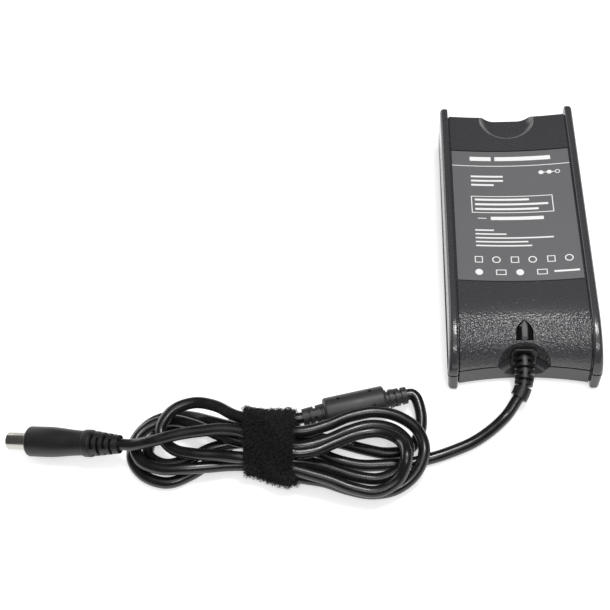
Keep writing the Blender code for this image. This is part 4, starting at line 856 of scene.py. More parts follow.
def nickel_plate():
    """Barrel-plated nickel: bright and a little warm, with fine turning marks round the barrel."""
    material, tree, output = material_tree("plated nickel")
    place = add(tree, "ShaderNodeTexCoord").outputs["Object"]
    marks = add(tree, "ShaderNodeTexNoise", {"Vector": place, "Scale": 2200.0, "Detail": 2.0})
    haze = add(tree, "ShaderNodeTexNoise", {"Vector": place, "Scale": 260.0, "Detail": 3.0})
    bump = add(tree, "ShaderNodeBump", {"Height": marks.outputs[0], "Strength": 0.06, "Distance": 0.00005})
    rough = add(tree, "ShaderNodeMapRange", {0: haze.outputs[0], 1: 0.3, 2: 0.7, 3: 0.16, 4: 0.28})
    shader = add(
        tree,
        "ShaderNodeBsdfPrincipled",
        {
            "Base Color": linear("#B9B6B1"),
            "Metallic": 1.0,
            "Roughness": rough.outputs[0],
            "Normal": bump.outputs[0],
        },
    )
    tree.links.new(shader.outputs[0], output.inputs["Surface"])
    return material


nickel = nickel_plate()
# PBT leaves a polished mould near black, with a soft, even gloss.
black_pbt = moulded("moulded black PBT", "#161617", "#1D1D1E", 0.5, 0.0003, 0.00006)
dressed("inlet_socket", black_pbt)
for name in ("inlet_pin_line", "inlet_pin_neutral", "inlet_pin_earth"):
    dressed(name, nickel)


# ---------------------------------------------------------------- board and the parts on it
# Sealed inside the shells: a solder-masked board with wound, moulded and canned parts. Each keeps
# its own form and gets the finish of its kind.

CAPACITOR_CANS = ("bulk_capacitor", "output_capacitor_1", "output_capacitor_2")
DIPPED_DISCS = ("surge_varistor", "y_capacitor")
MOULDED_PACKAGES = (
    "fuse",
    "optocoupler",
    "controller_chip",
    "bridge_rectifier",
    "switching_transistor",
    "output_rectifier",
)
TAPED_PARTS = ("transformer_winding", "x_capacitor")
FERRITES = ("transformer_core", "ferrite_core")
HEAT_SINKS = ("primary_heat_sink", "secondary_heat_sink")
WIRES = (
    "inlet_wire_line",
    "inlet_wire_neutral",
    "inlet_wire_earth",
    "output_wire_positive",
    "output_wire_return",
)
# (finish, darker shade, lighter shade, roughness, grain, slot, nodes)
INNER_FINISHES = (
    ("solder mask", "#0F4A24", "#155C2E", 0.35, 0.0008, "board", ("circuit_board",)),
    ("fishpaper", "#B7AC8C", "#C6BC9C", 0.8, 0.0004, "sheet", ("insulation_sheet",)),
    ("diffused lamp resin", "#B9D8B9", "#C9E4C9", 0.25, 0.0005, "lamp", ("indicator_lamp",)),
    ("shrink sleeve", "#15152A", "#1E1E38", 0.4, 0.0006, "sleeve", CAPACITOR_CANS),
    ("dipped blue epoxy", "#1B4C9C", "#235AB0", 0.3, 0.0006, "blue_epoxy", DIPPED_DISCS),
    ("moulded epoxy", "#18181A", "#212123", 0.55, 0.0003, "moulding", MOULDED_PACKAGES),
    ("polyester tape", "#C7A21E", "#D6B22C", 0.4, 0.0007, "tape", TAPED_PARTS),
    ("sintered ferrite", "#2A2A2D", "#343437", 0.6, 0.0004, "ferrite", FERRITES),
    ("enamelled copper", "#A5501E", "#BC6230", 0.35, 0.0008, "copper", ("emi_choke",)),
    ("mill-finish aluminium", "#B4B6B8", "#C2C4C6", 0.4, 0.0003, "sink", HEAT_SINKS),
    ("wire insulation", "#5A1212", "#701A1A", 0.45, 0.0005, "wire", WIRES),
    ("black insulator", "#18181A", "#222224", 0.5, 0.0003, "insulator", ("plug_insulator",)),
)
for finish, low, high, roughness, grain, slot, names in INNER_FINISHES:
    inner = moulded(finish, low, high, roughness, grain, grain / 6)
    for name in names:
        NODES[name].data.materials.clear()
        NODES[name].data.materials.append(inner)
for name in ("plug_inner_contact", "plug_pin"):
    NODES[name].data.materials.clear()
    NODES[name].data.materials.append(nickel)


# ---------------------------------------------------------------- strain relief
# A TPE boot, moulded over the cord. Rows of slots, each turned a quarter against the last, let it
# bend; its square collar fills the mouth of the pocket.

BOOT_TIP = (-0.0030, -0.0830, 0.0065)
COLLAR_WIDTH = 0.0106
COLLAR_HEIGHT = 0.0114
COLLAR_BACK_Y = NOSE_Y + 0.00458
COLLAR_FRONT_Y = COLLAR_BACK_Y - 0.0028
COLLAR_LEAN = 0.0021
COLLAR_RIM = 0.0005
COLLAR_SINK = 0.0008
BOOT_ROOT = 0.0047
BOOT_END = 0.0036
BOOT_STUB = 0.0022
BOOT_STEP = 0.00012
CUFF_LENGTH = 0.0030
CUFF_RADIUS = 0.0038
CORD_DIAMETER = 0.005
CORD_RADIUS = CORD_DIAMETER / 2
LEAD_ROUTE = (
    (-0.0084, -0.0899, 0.0030),
    (-0.0156, -0.0972, 0.0027),
    (-0.0236, -0.1031, 0.0027),
    (-0.0324, -0.1073, 0.0027),
    (-0.0388, -0.1098, 0.0027),
    (-0.0436, -0.1112, 0.0027),
)


def boot_path():
    """The boot's middle line: straight out of the collar, then drooping to its tip."""
    start = np.array((0.0, COLLAR_FRONT_Y + COLLAR_SINK, BOOT_HEIGHT))
    tip = np.array(BOOT_TIP)
    lead = np.array(LEAD_ROUTE[0])
    reach = np.linalg.norm(tip - start)
    out = np.array((0.0, -1.0, -0.12)) * reach
    into = (lead - tip) / np.linalg.norm(lead - tip) * reach
    points = []
    for u in np.linspace(0, 1, 81):
        bend = (2 * u**3 - 3 * u**2 + 1) * start + (u**3 - 2 * u**2 + u) * out
        points.append(bend + (3 * u**2 - 2 * u**3) * tip + (u**3 - u**2) * into)
    return np.vstack([start + (0.0, BOOT_STUB, 0.0), points])


def distances(path):
    """How far along a path each of its points lies."""
    return np.concatenate([[0], np.cumsum(np.linalg.norm(np.diff(path, axis=0), axis=1))])


def slotted_boot_tree():
    """Geometry Nodes: sweeps a ring along a path, whose points carry the boot's radius, and
    presses rows of slots into it. Each row has two slots and two bridges, a quarter turn on."""
    tree = bpy.data.node_groups.new("slotted boot", "GeometryNodeTree")
    tree.interface.new_socket("Geometry", in_out="INPUT", socket_type="NodeSocketGeometry")
    for name in ("First Slot", "Slot Pitch", "Slot Width", "Rows", "Slot Depth", "Bridge", "Turn", "Step"):
        tree.interface.new_socket(name, in_out="INPUT", socket_type="NodeSocketFloat")
    tree.interface.new_socket("Material", in_out="INPUT", socket_type="NodeSocketMaterial")
    tree.interface.new_socket("Geometry", in_out="OUTPUT", socket_type="NodeSocketGeometry")
    given = tree.nodes.new("NodeGroupInput").outputs
    resampled = add(
        tree,
        "GeometryNodeResampleCurve",
        {"Curve": given["Geometry"], "Length": given["Step"]},
        mode="LENGTH",
    )
    along = add(tree, "GeometryNodeCaptureAttribute", {"Geometry": resampled.outputs[0]}, domain="POINT")
    for kind, name in (("VECTOR", "middle"), ("FLOAT", "distance"), ("FLOAT", "radius")):
        along.capture_items.new(kind, name)
    tree.links.new(add(tree, "GeometryNodeInputPosition").outputs[0], along.inputs["middle"])
    tree.links.new(add(tree, "GeometryNodeSplineParameter").outputs["Length"], along.inputs["distance"])
    tree.links.new(add(tree, "GeometryNodeInputRadius").outputs[0], along.inputs["radius"])
    even = add(tree, "GeometryNodeSetCurveRadius", {"Curve": along.outputs["Geometry"], "Radius": 1.0})
    circle = add(tree, "GeometryNodeCurvePrimitiveCircle", {"Resolution": 80, "Radius": 0.001})
    around = add(tree, "GeometryNodeCaptureAttribute", {"Geometry": circle.outputs[0]}, domain="POINT")
    around.capture_items.new("FLOAT", "share")
    tree.links.new(add(tree, "GeometryNodeSplineParameter").outputs["Factor"], around.inputs["share"])
    swept = add(
        tree,
        "GeometryNodeCurveToMesh",
        {"Curve": even.outputs[0], "Profile Curve": around.outputs["Geometry"], "Fill Caps": True},
    )
    made = {}
    for name, operation, *values in (
        ("past the start", "SUBTRACT", along.outputs["distance"], given["First Slot"]),
        ("place", "DIVIDE", "past the start", given["Slot Pitch"]),
        ("row", "FLOOR", "place"),
        ("begun", "GREATER_THAN", "place", 0.0),
        ("last row", "SUBTRACT", given["Rows"], 0.5),
        ("unfinished", "LESS_THAN", "row", "last row"),
        ("place in row", "FRACT", "place"),
        ("slot share", "DIVIDE", given["Slot Width"], given["Slot Pitch"]),
        ("in width", "LESS_THAN", "place in row", "slot share"),
        ("quarter turns", "MULTIPLY", "row", math.pi / 2),
        ("turn", "ADD", "quarter turns", given["Turn"]),
        ("way round", "MULTIPLY", around.outputs["share"], 2 * math.pi),
        ("angle", "ADD", "way round", "turn"),
        ("sine", "SINE", "angle"),
        ("off middle", "ABSOLUTE", "sine"),
        ("off bridge", "GREATER_THAN", "off middle", given["Bridge"]),
        ("between ends", "MULTIPLY", "begun", "unfinished"),
        ("open", "MULTIPLY", "in width", "off bridge"),
        ("slot", "MULTIPLY", "between ends", "open"),
        ("sunk", "MULTIPLY", "slot", given["Slot Depth"]),
        ("radius", "SUBTRACT", along.outputs["radius"], "sunk"),
    ):
        inputs = {i: made[value] if isinstance(value, str) else value for i, value in enumerate(values)}
        made[name] = add(tree, "ShaderNodeMath", inputs, operation=operation).outputs[0]
    position = add(tree, "GeometryNodeInputPosition").outputs[0]
    out = add(tree, "ShaderNodeVectorMath", {0: position, 1: along.outputs["middle"]}, operation="SUBTRACT")
    way = add(tree, "ShaderNodeVectorMath", {0: out.outputs[0]}, operation="NORMALIZE")
    reach = add(
        tree, "ShaderNodeVectorMath", {0: way.outputs[0], "Scale": made["radius"]}, operation="SCALE"
    )
    middle = along.outputs["middle"]
    target = add(tree, "ShaderNodeVectorMath", {0: middle, 1: reach.outputs[0]}, operation="ADD")
    moved = add(
        tree, "GeometryNodeSetPosition", {"Geometry": swept.outputs[0], "Position": target.outputs[0]}
    )
    real = add(tree, "GeometryNodeRealizeInstances", {0: moved.outputs[0]})
    painted = add(
        tree, "GeometryNodeSetMaterial", {"Geometry": real.outputs[0], "Material": given["Material"]}
    )
    tree.links.new(painted.outputs[0], tree.nodes.new("NodeGroupOutput").inputs[0])
    return tree


SLOTTED_BOOT = slotted_boot_tree()


def slotted_boot(name, path, radii, material, **sizes):
    """A boot's mesh along a path, with a radius at each of its points."""
    curve = bpy.data.curves.new(name, "CURVE")
    curve.dimensions = "3D"
    spline = curve.splines.new("POLY")
    spline.points.add(len(path) - 1)
    for point, place, radius in zip(spline.points, path, radii):
        point.co = (*place, 1.0)
        point.radius = radius
    item = link(name, curve)
    modifier = item.modifiers.new("boot", "NODES")
    modifier.node_group = SLOTTED_BOOT
    sockets = {s.name: s.identifier for s in SLOTTED_BOOT.interface.items_tree if s.in_out == "INPUT"}
    for key, value in sizes.items():
        modifier[sockets[key.replace("_", " ").title()]] = value
    modifier[sockets["Material"]] = material
    mesh = evaluated(item, name)
    return soften(mesh, math.radians(40))


def rounded_square(centre_y, half_width, half_height, power, lean=0.0, count=64):
    """A ring across the boot: a square with rounded corners, its top leaning back."""
    ring = []
    for k in range(count):
        angle = 2 * math.pi * (k + 0.5) / count
        c, s = math.cos(angle), math.sin(angle)
        x = math.copysign(abs(c) ** (2 / power), c) * half_width
        z = math.copysign(abs(s) ** (2 / power), s) * half_height
        ring.append((x, centre_y + lean * (0.5 + z / COLLAR_HEIGHT), BOOT_HEIGHT + z))
    return ring


def collar():
    """Neck, square collar with a thin raised rim, and the sunk face that the boot grows from.
    The face leans back, as the nose above it does."""
    wide, tall = COLLAR_WIDTH / 2, COLLAR_HEIGHT / 2
    rings = [rounded_square(y, 0.0043, 0.0043, 6.0) for y in (POCKET_BACK_Y + WALL, COLLAR_BACK_Y)]
    rings.append(rounded_square(COLLAR_BACK_Y, wide, tall, 7.0))
    for step in range(5):
        angle = math.radians(22.5 * step)
        inset = 0.0002 * (1 - math.cos(angle))
        front = COLLAR_FRONT_Y + 0.0002 * (1 - math.sin(angle))
        rings.append(rounded_square(front, wide - inset, tall - inset, 7.0, COLLAR_LEAN))
    wide -= COLLAR_RIM
    tall -= COLLAR_RIM
    floor_y = COLLAR_FRONT_Y + COLLAR_SINK
    rings.append(rounded_square(COLLAR_FRONT_Y, wide, tall, 7.0, COLLAR_LEAN))
    rings.append(rounded_square(floor_y, wide - 0.0001, tall - 0.0001, 7.0, COLLAR_LEAN * 0.8))
    rings.append(rounded_square(floor_y, 0.0035, 0.0035, 2.0, COLLAR_LEAN * 0.8))
    return skin("collar", rings)


# TPE is near black and a little duller than the jacket, so the slots stay easy to read.
boot_tpe = moulded("moulded black TPE", "#131314", "#1A1A1B", 0.40, 0.0003, 0.00005)
path = boot_path()
marks = distances(path)
length = marks[-1]
radii = BOOT_ROOT + (BOOT_END - BOOT_ROOT) * marks / length
cuff = marks > length - CUFF_LENGTH
radii = np.where(cuff, CUFF_RADIUS, radii)
fine = np.linspace(0, length, 200)
boot_line = np.stack([np.interp(fine, marks, path[:, axis]) for axis in range(3)], axis=1)
boot_radii = np.interp(fine, marks, radii)
boot_mesh = slotted_boot(
    "boot",
    boot_line,
    boot_radii,
    boot_tpe,
    first_slot=0.0012,
    slot_pitch=0.0025,
    slot_width=0.00112,
    rows=6.0,
    slot_depth=0.0016,
    bridge=0.30,
    turn=0.0,
    step=BOOT_STEP,
)
collar_mesh = soften(collar())
collar_mesh.materials.append(boot_tpe)
for name, mesh in (("relief_boot", boot_mesh), ("relief_collar", collar_mesh)):
    piece = link(name, mesh)
    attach(piece, "root")
    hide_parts("strain_relief")


# ---------------------------------------------------------------- cord
# One length of two-core cord in a glossy PVC jacket, 5 mm thick: from the boot over the floor,
# nine times through the tie strap in a hank, through the choke, and out to the plug.

WAIST_X = (-0.1180, -0.0970)
WAIST_FLOOR = 0.0048
CORD_FLOOR = 0.0027
HANK_POINTS = 116
HANK_GAP = 0.0007
FINE_POINTS = 464
COARSE_ROUNDS = 800
FINE_ROUNDS = 160
SAME_STRAND = 0.030
LEAD_POINTS = 30
CORD_POINTS = 1500
CORD_SIDES = 24
CORD_INSET = 0.0015
PASSES = (
    ((-0.1068, 0.0048), (-0.1064, 0.0048)),
    ((-0.0985, 0.0098), (-0.0975, 0.0098)),
    ((-0.1012, 0.0048), (-0.1008, 0.0048)),
    ((-0.1040, 0.0098), (-0.1030, 0.0098)),
    ((-0.1178, 0.0048), (-0.1120, 0.0048)),
    ((-0.1095, 0.0098), (-0.1085, 0.0098)),
    ((-0.1122, 0.0048), (-0.1142, 0.0098)),
    ((-0.1150, 0.0101), (-0.1002, 0.0149)),
    ((-0.1205, 0.0098), (-0.1062, 0.0149)),
)
LEFT_TURNS = (
    (-0.1622, 0.012, -0.0975, -0.1166, 0.0027, 0.0027, 0.0027),
    (-0.1679, 0.017, -0.0917, -0.1226, 0.0027, 0.0027, 0.0027),
    (-0.1672, 0.015, -0.0945, -0.1165, 0.0080, 0.0080, 0.0075),
    (-0.1553, 0.017, -0.0902, -0.1125, 0.0125, 0.0095, 0.0085),
)
RIGHT_TURNS = (
    (-0.0450, 0.012, -0.0840, -0.1085, 0.0069, 0.0035, 0.0028),
    (-0.0458, 0.020, -0.0920, -0.1255, 0.0090, 0.0090, 0.0035),
    (-0.0502, 0.015, -0.0974, -0.1200, 0.0090, 0.0095, 0.0035),
    (-0.0506, 0.014, -0.1032, -0.1286, 0.0100, 0.0145, 0.0060),
)
HANK_ENTRY = ((-0.0600, -0.1140, 0.0027), (-0.0750, -0.1142, 0.0027))
HANK_EXIT = (
    (-0.1280, -0.1050, 0.0146),
    (-0.1390, -0.1061, 0.0148),
    (-0.1490, -0.1076, 0.0146),
    (-0.1570, -0.1096, 0.0146),
)
CHOKED_PASS = 1
CHOKE_ENDS = ((-0.0860, -0.0905, 0.0069), (-0.0600, -0.0840, 0.0069))
CHOKE_RADIUS = 0.0063
CHOKE_BOOT_LENGTH = 0.0095
CHOKE_BOOT_RADIUS = 0.0042
PLUG_TIP = (-0.2226, -0.1028, 0.0054)
PLUG_AXIS = Vector((0.984, -0.126, 0.146)).normalized()
BARREL_SHOWN = 0.0098
PLUG_LENGTH = 0.0264
PLUG_RING_LENGTH = 0.0036
PLUG_BOOT_LENGTH = 0.013
FIT = 0.0003


def smooth_step(u):
    """A share from 0 to 1, eased at both ends."""
    return u * u * (3 - 2 * u)


def even_steps(path, count):
    """The same path with this many points, at equal distances along it."""
    marks = distances(path)
    wanted = np.linspace(0, marks[-1], count)
    return np.stack([np.interp(wanted, marks, path[:, axis]) for axis in range(3)], axis=1)


def smooth_curve(points, count):
    """Equal steps along a centripetal Catmull-Rom curve through a route's points."""
    route = np.array(points, float)
    route = np.vstack([2 * route[0] - route[1], route, 2 * route[-1] - route[-2]])
    fine = []
    for a, b, c, d in zip(route, route[1:], route[2:], route[3:]):
        t1 = np.linalg.norm(b - a) ** 0.5
        t2 = t1 + np.linalg.norm(c - b) ** 0.5
        t3 = t2 + np.linalg.norm(d - c) ** 0.5
        for t in np.linspace(t1, t2, 10, endpoint=False):
            ab = (t1 - t) / t1 * a + t / t1 * b
            bc = (t2 - t) / (t2 - t1) * b + (t - t1) / (t2 - t1) * c
            cd = (t3 - t) / (t3 - t2) * c + (t - t2) / (t3 - t2) * d
            abc = (t2 - t) / t2 * ab + t / t2 * bc
            bcd = (t3 - t) / (t3 - t1) * bc + (t - t1) / (t3 - t1) * cd
            fine.append((t2 - t) / (t2 - t1) * abc + (t - t1) / (t2 - t1) * bcd)
    fine.append(route[-2])
    return even_steps(np.array(fine), count)


def half_turn(turn, side):
    """A loop's round end, as half an ellipse from its back to its front."""
    tip, bend, back, front, back_z, tip_z, front_z = turn
    points = []
    for angle in np.linspace(math.pi / 2, -math.pi / 2, 8):
        reach = math.sin(angle)
        height = tip_z + (back_z - tip_z) * smooth_step(max(reach, 0.0))
        height += (front_z - tip_z) * smooth_step(max(-reach, 0.0))
        x = tip - side * bend * (1 - math.cos(angle))
        points.append((x, (back + front) / 2 + (back - front) / 2 * reach, height))
    return points


def between(start, end, count=2):
    """Points strictly between two ends, eased sideways and in height."""
    points = []
    for u in np.arange(1, count + 1) / (count + 1):
        ease = smooth_step(u)
        x = start[0] + (end[0] - start[0]) * u
        points.append((x, start[1] + (end[1] - start[1]) * ease, start[2] + (end[2] - start[2]) * ease))
    return points


def lead_direction():
    """The way the cord points where the hank takes over from the free stretch."""
    before, end = (np.array(point) for point in LEAD_ROUTE[-2:])
    return (end - before) / np.linalg.norm(end - before)


def choke_line():
    """The cord's straight stretch through the choke and its two boots, and its direction."""
    start, end = (np.array(point) for point in CHOKE_ENDS)
    way = (end - start) / np.linalg.norm(end - start)
    reach = CHOKE_BOOT_LENGTH + CORD_RADIUS
    return start - way * reach, end + way * reach, way


def plug_tail():
    """Where the cord enters the plug's boot."""
    reach = BARREL_SHOWN + PLUG_LENGTH + PLUG_RING_LENGTH + PLUG_BOOT_LENGTH + FIT
    return np.array(Vector(PLUG_TIP) + PLUG_AXIS * reach)


def hank_routes():
    """Nine passes through the waist, joined in turn by a left and a right loop: the route up to
    the choke and the route on from it."""
    before, after, way = choke_line()
    start = np.array(LEAD_ROUTE[-1]) + lead_direction() * FIT
    route = [tuple(start + lead_direction() * CORD_DIAMETER), *HANK_ENTRY]
    routes = []
    for number, (right, left) in enumerate(PASSES):
        right_edge = (WAIST_X[1], *right)
        left_edge = (WAIST_X[0], *left)
        leftwards = number % 2 == 0
        enter, leave = (right_edge, left_edge) if leftwards else (left_edge, right_edge)
        if number == CHOKED_PASS:
            leave = tuple(before - way * CORD_RADIUS)
        route += between(route[-1], enter, 1 if number == 0 else 2)
        route += [enter, *between(enter, leave), leave]
        if number == len(PASSES) - 1:
            break
        if number == CHOKED_PASS:
            routes.append([*route, tuple(before)])
            turn = half_turn(RIGHT_TURNS[0], 1)
            route = [tuple(after), tuple(after + way * CORD_RADIUS)]
            clear_x, clear_y = after[0] + CORD_DIAMETER, before[1]
            route += [point for point in turn if point[0] > clear_x or point[1] < clear_y]
        elif leftwards:
            turn = half_turn(LEFT_TURNS[number // 2], -1)[::-1]
            route += between(leave, turn[0]) + turn
        else:
            turn = half_turn(RIGHT_TURNS[number // 2], 1)
            route += between(leave, turn[0]) + turn
    routes.append([*route, *HANK_EXIT, tuple(plug_tail() + np.array(PLUG_AXIS) * CORD_DIAMETER)])
    return routes


def closest_points(path):
    """For each pair of segments: their numbers, where along each they come closest, and the
    vector between those places."""
    steps = np.diff(path, axis=0)
    first, second = np.triu_indices(len(steps), 2)
    u, v = steps[first], steps[second]
    w = path[first] - path[second]
    a, b, c = (u * u).sum(1), (u * v).sum(1), (v * v).sum(1)
    d, e = (u * w).sum(1), (v * w).sum(1)
    spread_out = np.maximum(a * c - b * b, 1e-18)
    s = np.clip((b * e - c * d) / spread_out, 0, 1)
    t = np.clip((b * s + e) / c, 0, 1)
    s = np.clip((b * t - d) / a, 0, 1)
    t = np.clip((b * s + e) / c, 0, 1)
    return first, second, s, t, w + u * s[:, None] - v * t[:, None]


def settle(path, radii, held, floors, steps, neighbours):
    """Parts strands that touch, a little at a time, while the loops keep their smooth form."""
    rest = path.copy()
    for step in range(steps):
        first, second, s, t, apart = closest_points(path)
        distance = np.linalg.norm(apart, axis=1)
        need = radii[first] + radii[second] + HANK_GAP - distance
        near = (need > 0) & (second - first >= neighbours)
        direction = apart[near] / np.maximum(distance[near], 1e-9)[:, None]
        push = np.zeros_like(path)
        share = np.zeros(len(path))
        for number, where, sign in ((first[near], s[near], 1), (second[near], t[near], -1)):
            for offset, weight in ((0, 1 - where), (1, where)):
                np.add.at(push, number + offset, sign * direction * (need[near] * weight * 0.5)[:, None])
                np.add.at(share, number + offset, weight)
        push /= np.maximum(share, 1)[:, None]
        path = np.where(held[:, None], path, path + 0.9 * push)
        moved = path - rest
        eased = moved.copy()
        eased[1:-1] = 0.5 * moved[1:-1] + 0.25 * (moved[:-2] + moved[2:])
        stiffness = 0.35 * (1 - step / steps) ** 1.5
        path = np.where(held[:, None], path, rest + (1 - stiffness) * moved + stiffness * eased)
        path[:, 2] = np.where(held, path[:, 2], np.maximum(path[:, 2], floors))
    return path


def floor_heights(path):
    """The lowest that the cord may lie at each point: inside the strap it rests on fabric."""
    at_waist = (path[:, 0] > WAIST_X[0] - CORD_DIAMETER) & (path[:, 0] < WAIST_X[1] + CORD_DIAMETER)
    return np.where(at_waist, WAIST_FLOOR, CORD_FLOOR)


def hank_path():
    """The hank's middle line, settled at a coarse and then at a fine pitch."""
    routes = hank_routes()
    lengths = [distances(np.array(route))[-1] for route in routes]
    counts = [round(HANK_POINTS * part / sum(lengths)) for part in lengths]
    first, second = (smooth_curve(route, count) for route, count in zip(routes, counts))
    start = np.array(LEAD_ROUTE[-1]) + lead_direction() * FIT
    path = np.vstack([start, first, CHOKE_ENDS, second, plug_tail()])
    choke_start = len(first) + 1
    held = np.zeros(len(path), bool)
    held[[0, 1, -2, -1]] = True
    held[choke_start - 1 : choke_start + 3] = True
    radii = np.full(len(path) - 1, CORD_RADIUS)
    radii[choke_start - 1 : choke_start + 2] = (CHOKE_BOOT_RADIUS, CHOKE_RADIUS, CHOKE_BOOT_RADIUS)
    path = settle(path, radii, held, floor_heights(path), COARSE_ROUNDS, 3)
    path = smooth_curve(path, FINE_POINTS)
    before, after, way = choke_line()
    reach = (path - before) @ way
    straight = before + np.outer(reach, way)
    inside = (reach > 0) & (reach < (after - before) @ way)
    inside &= np.linalg.norm(path - straight, axis=1) < CORD_RADIUS
    path = np.where(inside[:, None], straight, path)
    held = inside.copy()
    held[:4] = True
    held[-4:] = True
    thick = reach[:-1] - CHOKE_BOOT_LENGTH - CORD_RADIUS
    long = np.linalg.norm(np.subtract(*CHOKE_ENDS))
    radii = np.where(inside[:-1], CHOKE_BOOT_RADIUS, CORD_RADIUS)
    radii = np.where(inside[:-1] & (thick > 0) & (thick < long), CHOKE_RADIUS, radii)
    pitch = distances(path)[-1] / FINE_POINTS
    return settle(path, radii, held, floor_heights(path), FINE_ROUNDS, round(SAME_STRAND / pitch))


def lead_path():
    """The free stretch, from just inside the boot's tip to where the hank begins."""
    tip = boot_line[-1]
    way = (boot_line[-1] - boot_line[-6]) / np.linalg.norm(boot_line[-1] - boot_line[-6])
    route = [tip - way * CORD_INSET, tip, tip + way * CORD_DIAMETER * 0.6, *LEAD_ROUTE[:-1]]
    end = np.array(LEAD_ROUTE[-1])
    points = smooth_curve([*route, end - lead_direction() * CORD_RADIUS, end], LEAD_POINTS)
    return points[:-1]


def swept(name, path, radius, sides):
    """A round tube along a path, with UVs that run round it and along it, in metres."""
    way = np.gradient(path, axis=0)
    way /= np.linalg.norm(way, axis=1)[:, None]
    across = np.cross(way[0], (0, 0, 1.0))
    across /= np.linalg.norm(across)
    marks = distances(path)
    verts = []
    for place, direction in zip(path, way):
        across = across - direction * (across @ direction)
        across /= np.linalg.norm(across)
        up = np.cross(direction, across)
        for k in range(sides):
            angle = 2 * math.pi * k / sides
            verts.append(place + radius * (across * math.cos(angle) + up * math.sin(angle)))
    faces = []
    for i in range(len(path) - 1):
        for k in range(sides):
            j = (k + 1) % sides
            faces.append((i * sides + k, i * sides + j, (i + 1) * sides + j, (i + 1) * sides + k))
    faces.append(tuple(range(sides)))
    faces.append(tuple(range(len(verts) - sides, len(verts))))
    mesh = bpy.data.meshes.new(name)
    mesh.from_pydata([tuple(v) for v in verts], [], faces)
    layer = mesh.uv_layers.new(name="along")
    round_it = 2 * math.pi * radius
    for i in range(len(path) - 1):
        for k in range(sides):
            loop = (i * sides + k) * 4
            for offset, (row, column) in enumerate(((0, 0), (0, 1), (1, 1), (1, 0))):
                layer.data[loop + offset].uv = (round_it * (k + column) / sides, marks[i + row])
    shape = bmesh.new()
    shape.from_mesh(mesh)
    bmesh.ops.recalc_face_normals(shape, faces=shape.faces)
    shape.to_mesh(mesh)
    shape.free()
    return soften(mesh, math.radians(60))


def cord_jacket():
    """Extruded soft PVC: glossy black, with faint draw lines along it and a slight unevenness."""
    material, tree, output = material_tree("extruded black PVC")
    uv = add(tree, "ShaderNodeUVMap", uv_map="along").outputs[0]
    stretched = add(tree, "ShaderNodeMapping", {"Vector": uv, "Scale": (2600.0, 60.0, 1.0)})
    lines = add(tree, "ShaderNodeTexNoise", {"Vector": stretched.outputs[0], "Scale": 1.0, "Detail": 2.0})
    place = add(tree, "ShaderNodeTexCoord").outputs["Object"]
    handled = add(tree, "ShaderNodeTexNoise", {"Vector": place, "Scale": 160.0, "Detail": 3.0})
    bump = add(tree, "ShaderNodeBump", {"Height": lines.outputs[0], "Strength": 0.12, "Distance": 0.00012})
    rough = add(tree, "ShaderNodeMapRange", {0: handled.outputs[0], 1: 0.35, 2: 0.7, 3: 0.22, 4: 0.36})
    colour = add(
        tree,
        "ShaderNodeMix",
        {0: handled.outputs[0], 6: linear("#0F0F10"), 7: linear("#161617")},
        data_type="RGBA",
    )
    shader = add(
        tree,
        "ShaderNodeBsdfPrincipled",
        {
            "Base Color": colour.outputs[2],
            "Roughness": rough.outputs[0],
            "Normal": bump.outputs[0],
            "IOR": 1.54,
        },
    )
    tree.links.new(shader.outputs[0], output.inputs["Surface"])
    return material


hank_line = hank_path()
entry = plug_tail() - np.array(PLUG_AXIS) * CORD_INSET
cord_line = smooth_curve(np.vstack([lead_path(), hank_line, entry]), CORD_POINTS)
cord_mesh = swept("cord", cord_line, CORD_RADIUS, CORD_SIDES)
cord_mesh.materials.append(cord_jacket())
cord_piece = link("output_cord", cord_mesh)
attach(cord_piece, "root")
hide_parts("dc_lead", "cord_hank")


# ---------------------------------------------------------------- ferrite choke
# A ferrite sleeve in a satin overmould, with a short slotted boot at each end and the three marks
# where pins held the ferrite in the mould.

CHOKE_ROUND = 0.0012
PIN_MARKS = ((0.0067, -18.0), (0.0207, -23.0), (0.0211, 45.0))
PIN_MARK_RADIUS = 0.0008


def turned(name, start, way, profile, sides=72):
    """A solid of revolution from (distance, radius) pairs along an axis, smooth to the eye."""
    way = Vector(way).normalized()
    side = way.cross(Vector((0, 0, 1))).normalized()
    up = side.cross(way)
    rings = []
    for distance, radius in profile:
        ring = []
        for k in range(sides):
            angle = 2 * math.pi * k / sides
            out = side * math.cos(angle) + up * math.sin(angle)
            ring.append(Vector(start) + way * distance + out * radius)
        rings.append(ring)
    return skin(name, rings)


def rounded_end(distance, radius, round_radius, sign, steps=6):
    """The profile of a rounded edge, from the face outwards."""
    points = []
    for angle in np.linspace(0, math.pi / 2, steps):
        along = distance + sign * round_radius * (1 - math.cos(angle))
        points.append((along, radius - round_radius * (1 - math.sin(angle))))
    return points


# The overmould is dark grey and satin: its round back carries one broad, soft highlight.
choke_rubber = moulded("satin PVC overmould", "#2A2A2B", "#303032", 0.44, 0.00035, 0.00006)
choke_start, choke_end = (Vector(point) for point in CHOKE_ENDS)
choke_way = (choke_end - choke_start).normalized()
choke_length = (choke_end - choke_start).length
profile = [(0.0, CORD_RADIUS + FIT)] + rounded_end(0.0, CHOKE_RADIUS, CHOKE_ROUND, 1)
profile += [(choke_length - distance, radius) for distance, radius in profile[::-1]]
body = turned("choke", choke_start, choke_way, profile)
across = choke_way.cross(Vector((0, 0, 1))).normalized()
above = across.cross(choke_way)
holes = []
for distance, angle in PIN_MARKS:
    turn = math.radians(angle)
    out = above * math.cos(turn) + across * math.sin(turn)
    start = choke_start + choke_way * distance + out * (CHOKE_RADIUS - 0.0012)
    holes.append(turned("mark", start, out, [(0.0, PIN_MARK_RADIUS), (0.003, PIN_MARK_RADIUS)], 24))
body = soften(carve(body, "choke", holes))
body.materials.clear()
body.materials.append(choke_rubber)
choke_pieces = [link("choke_body", body)]
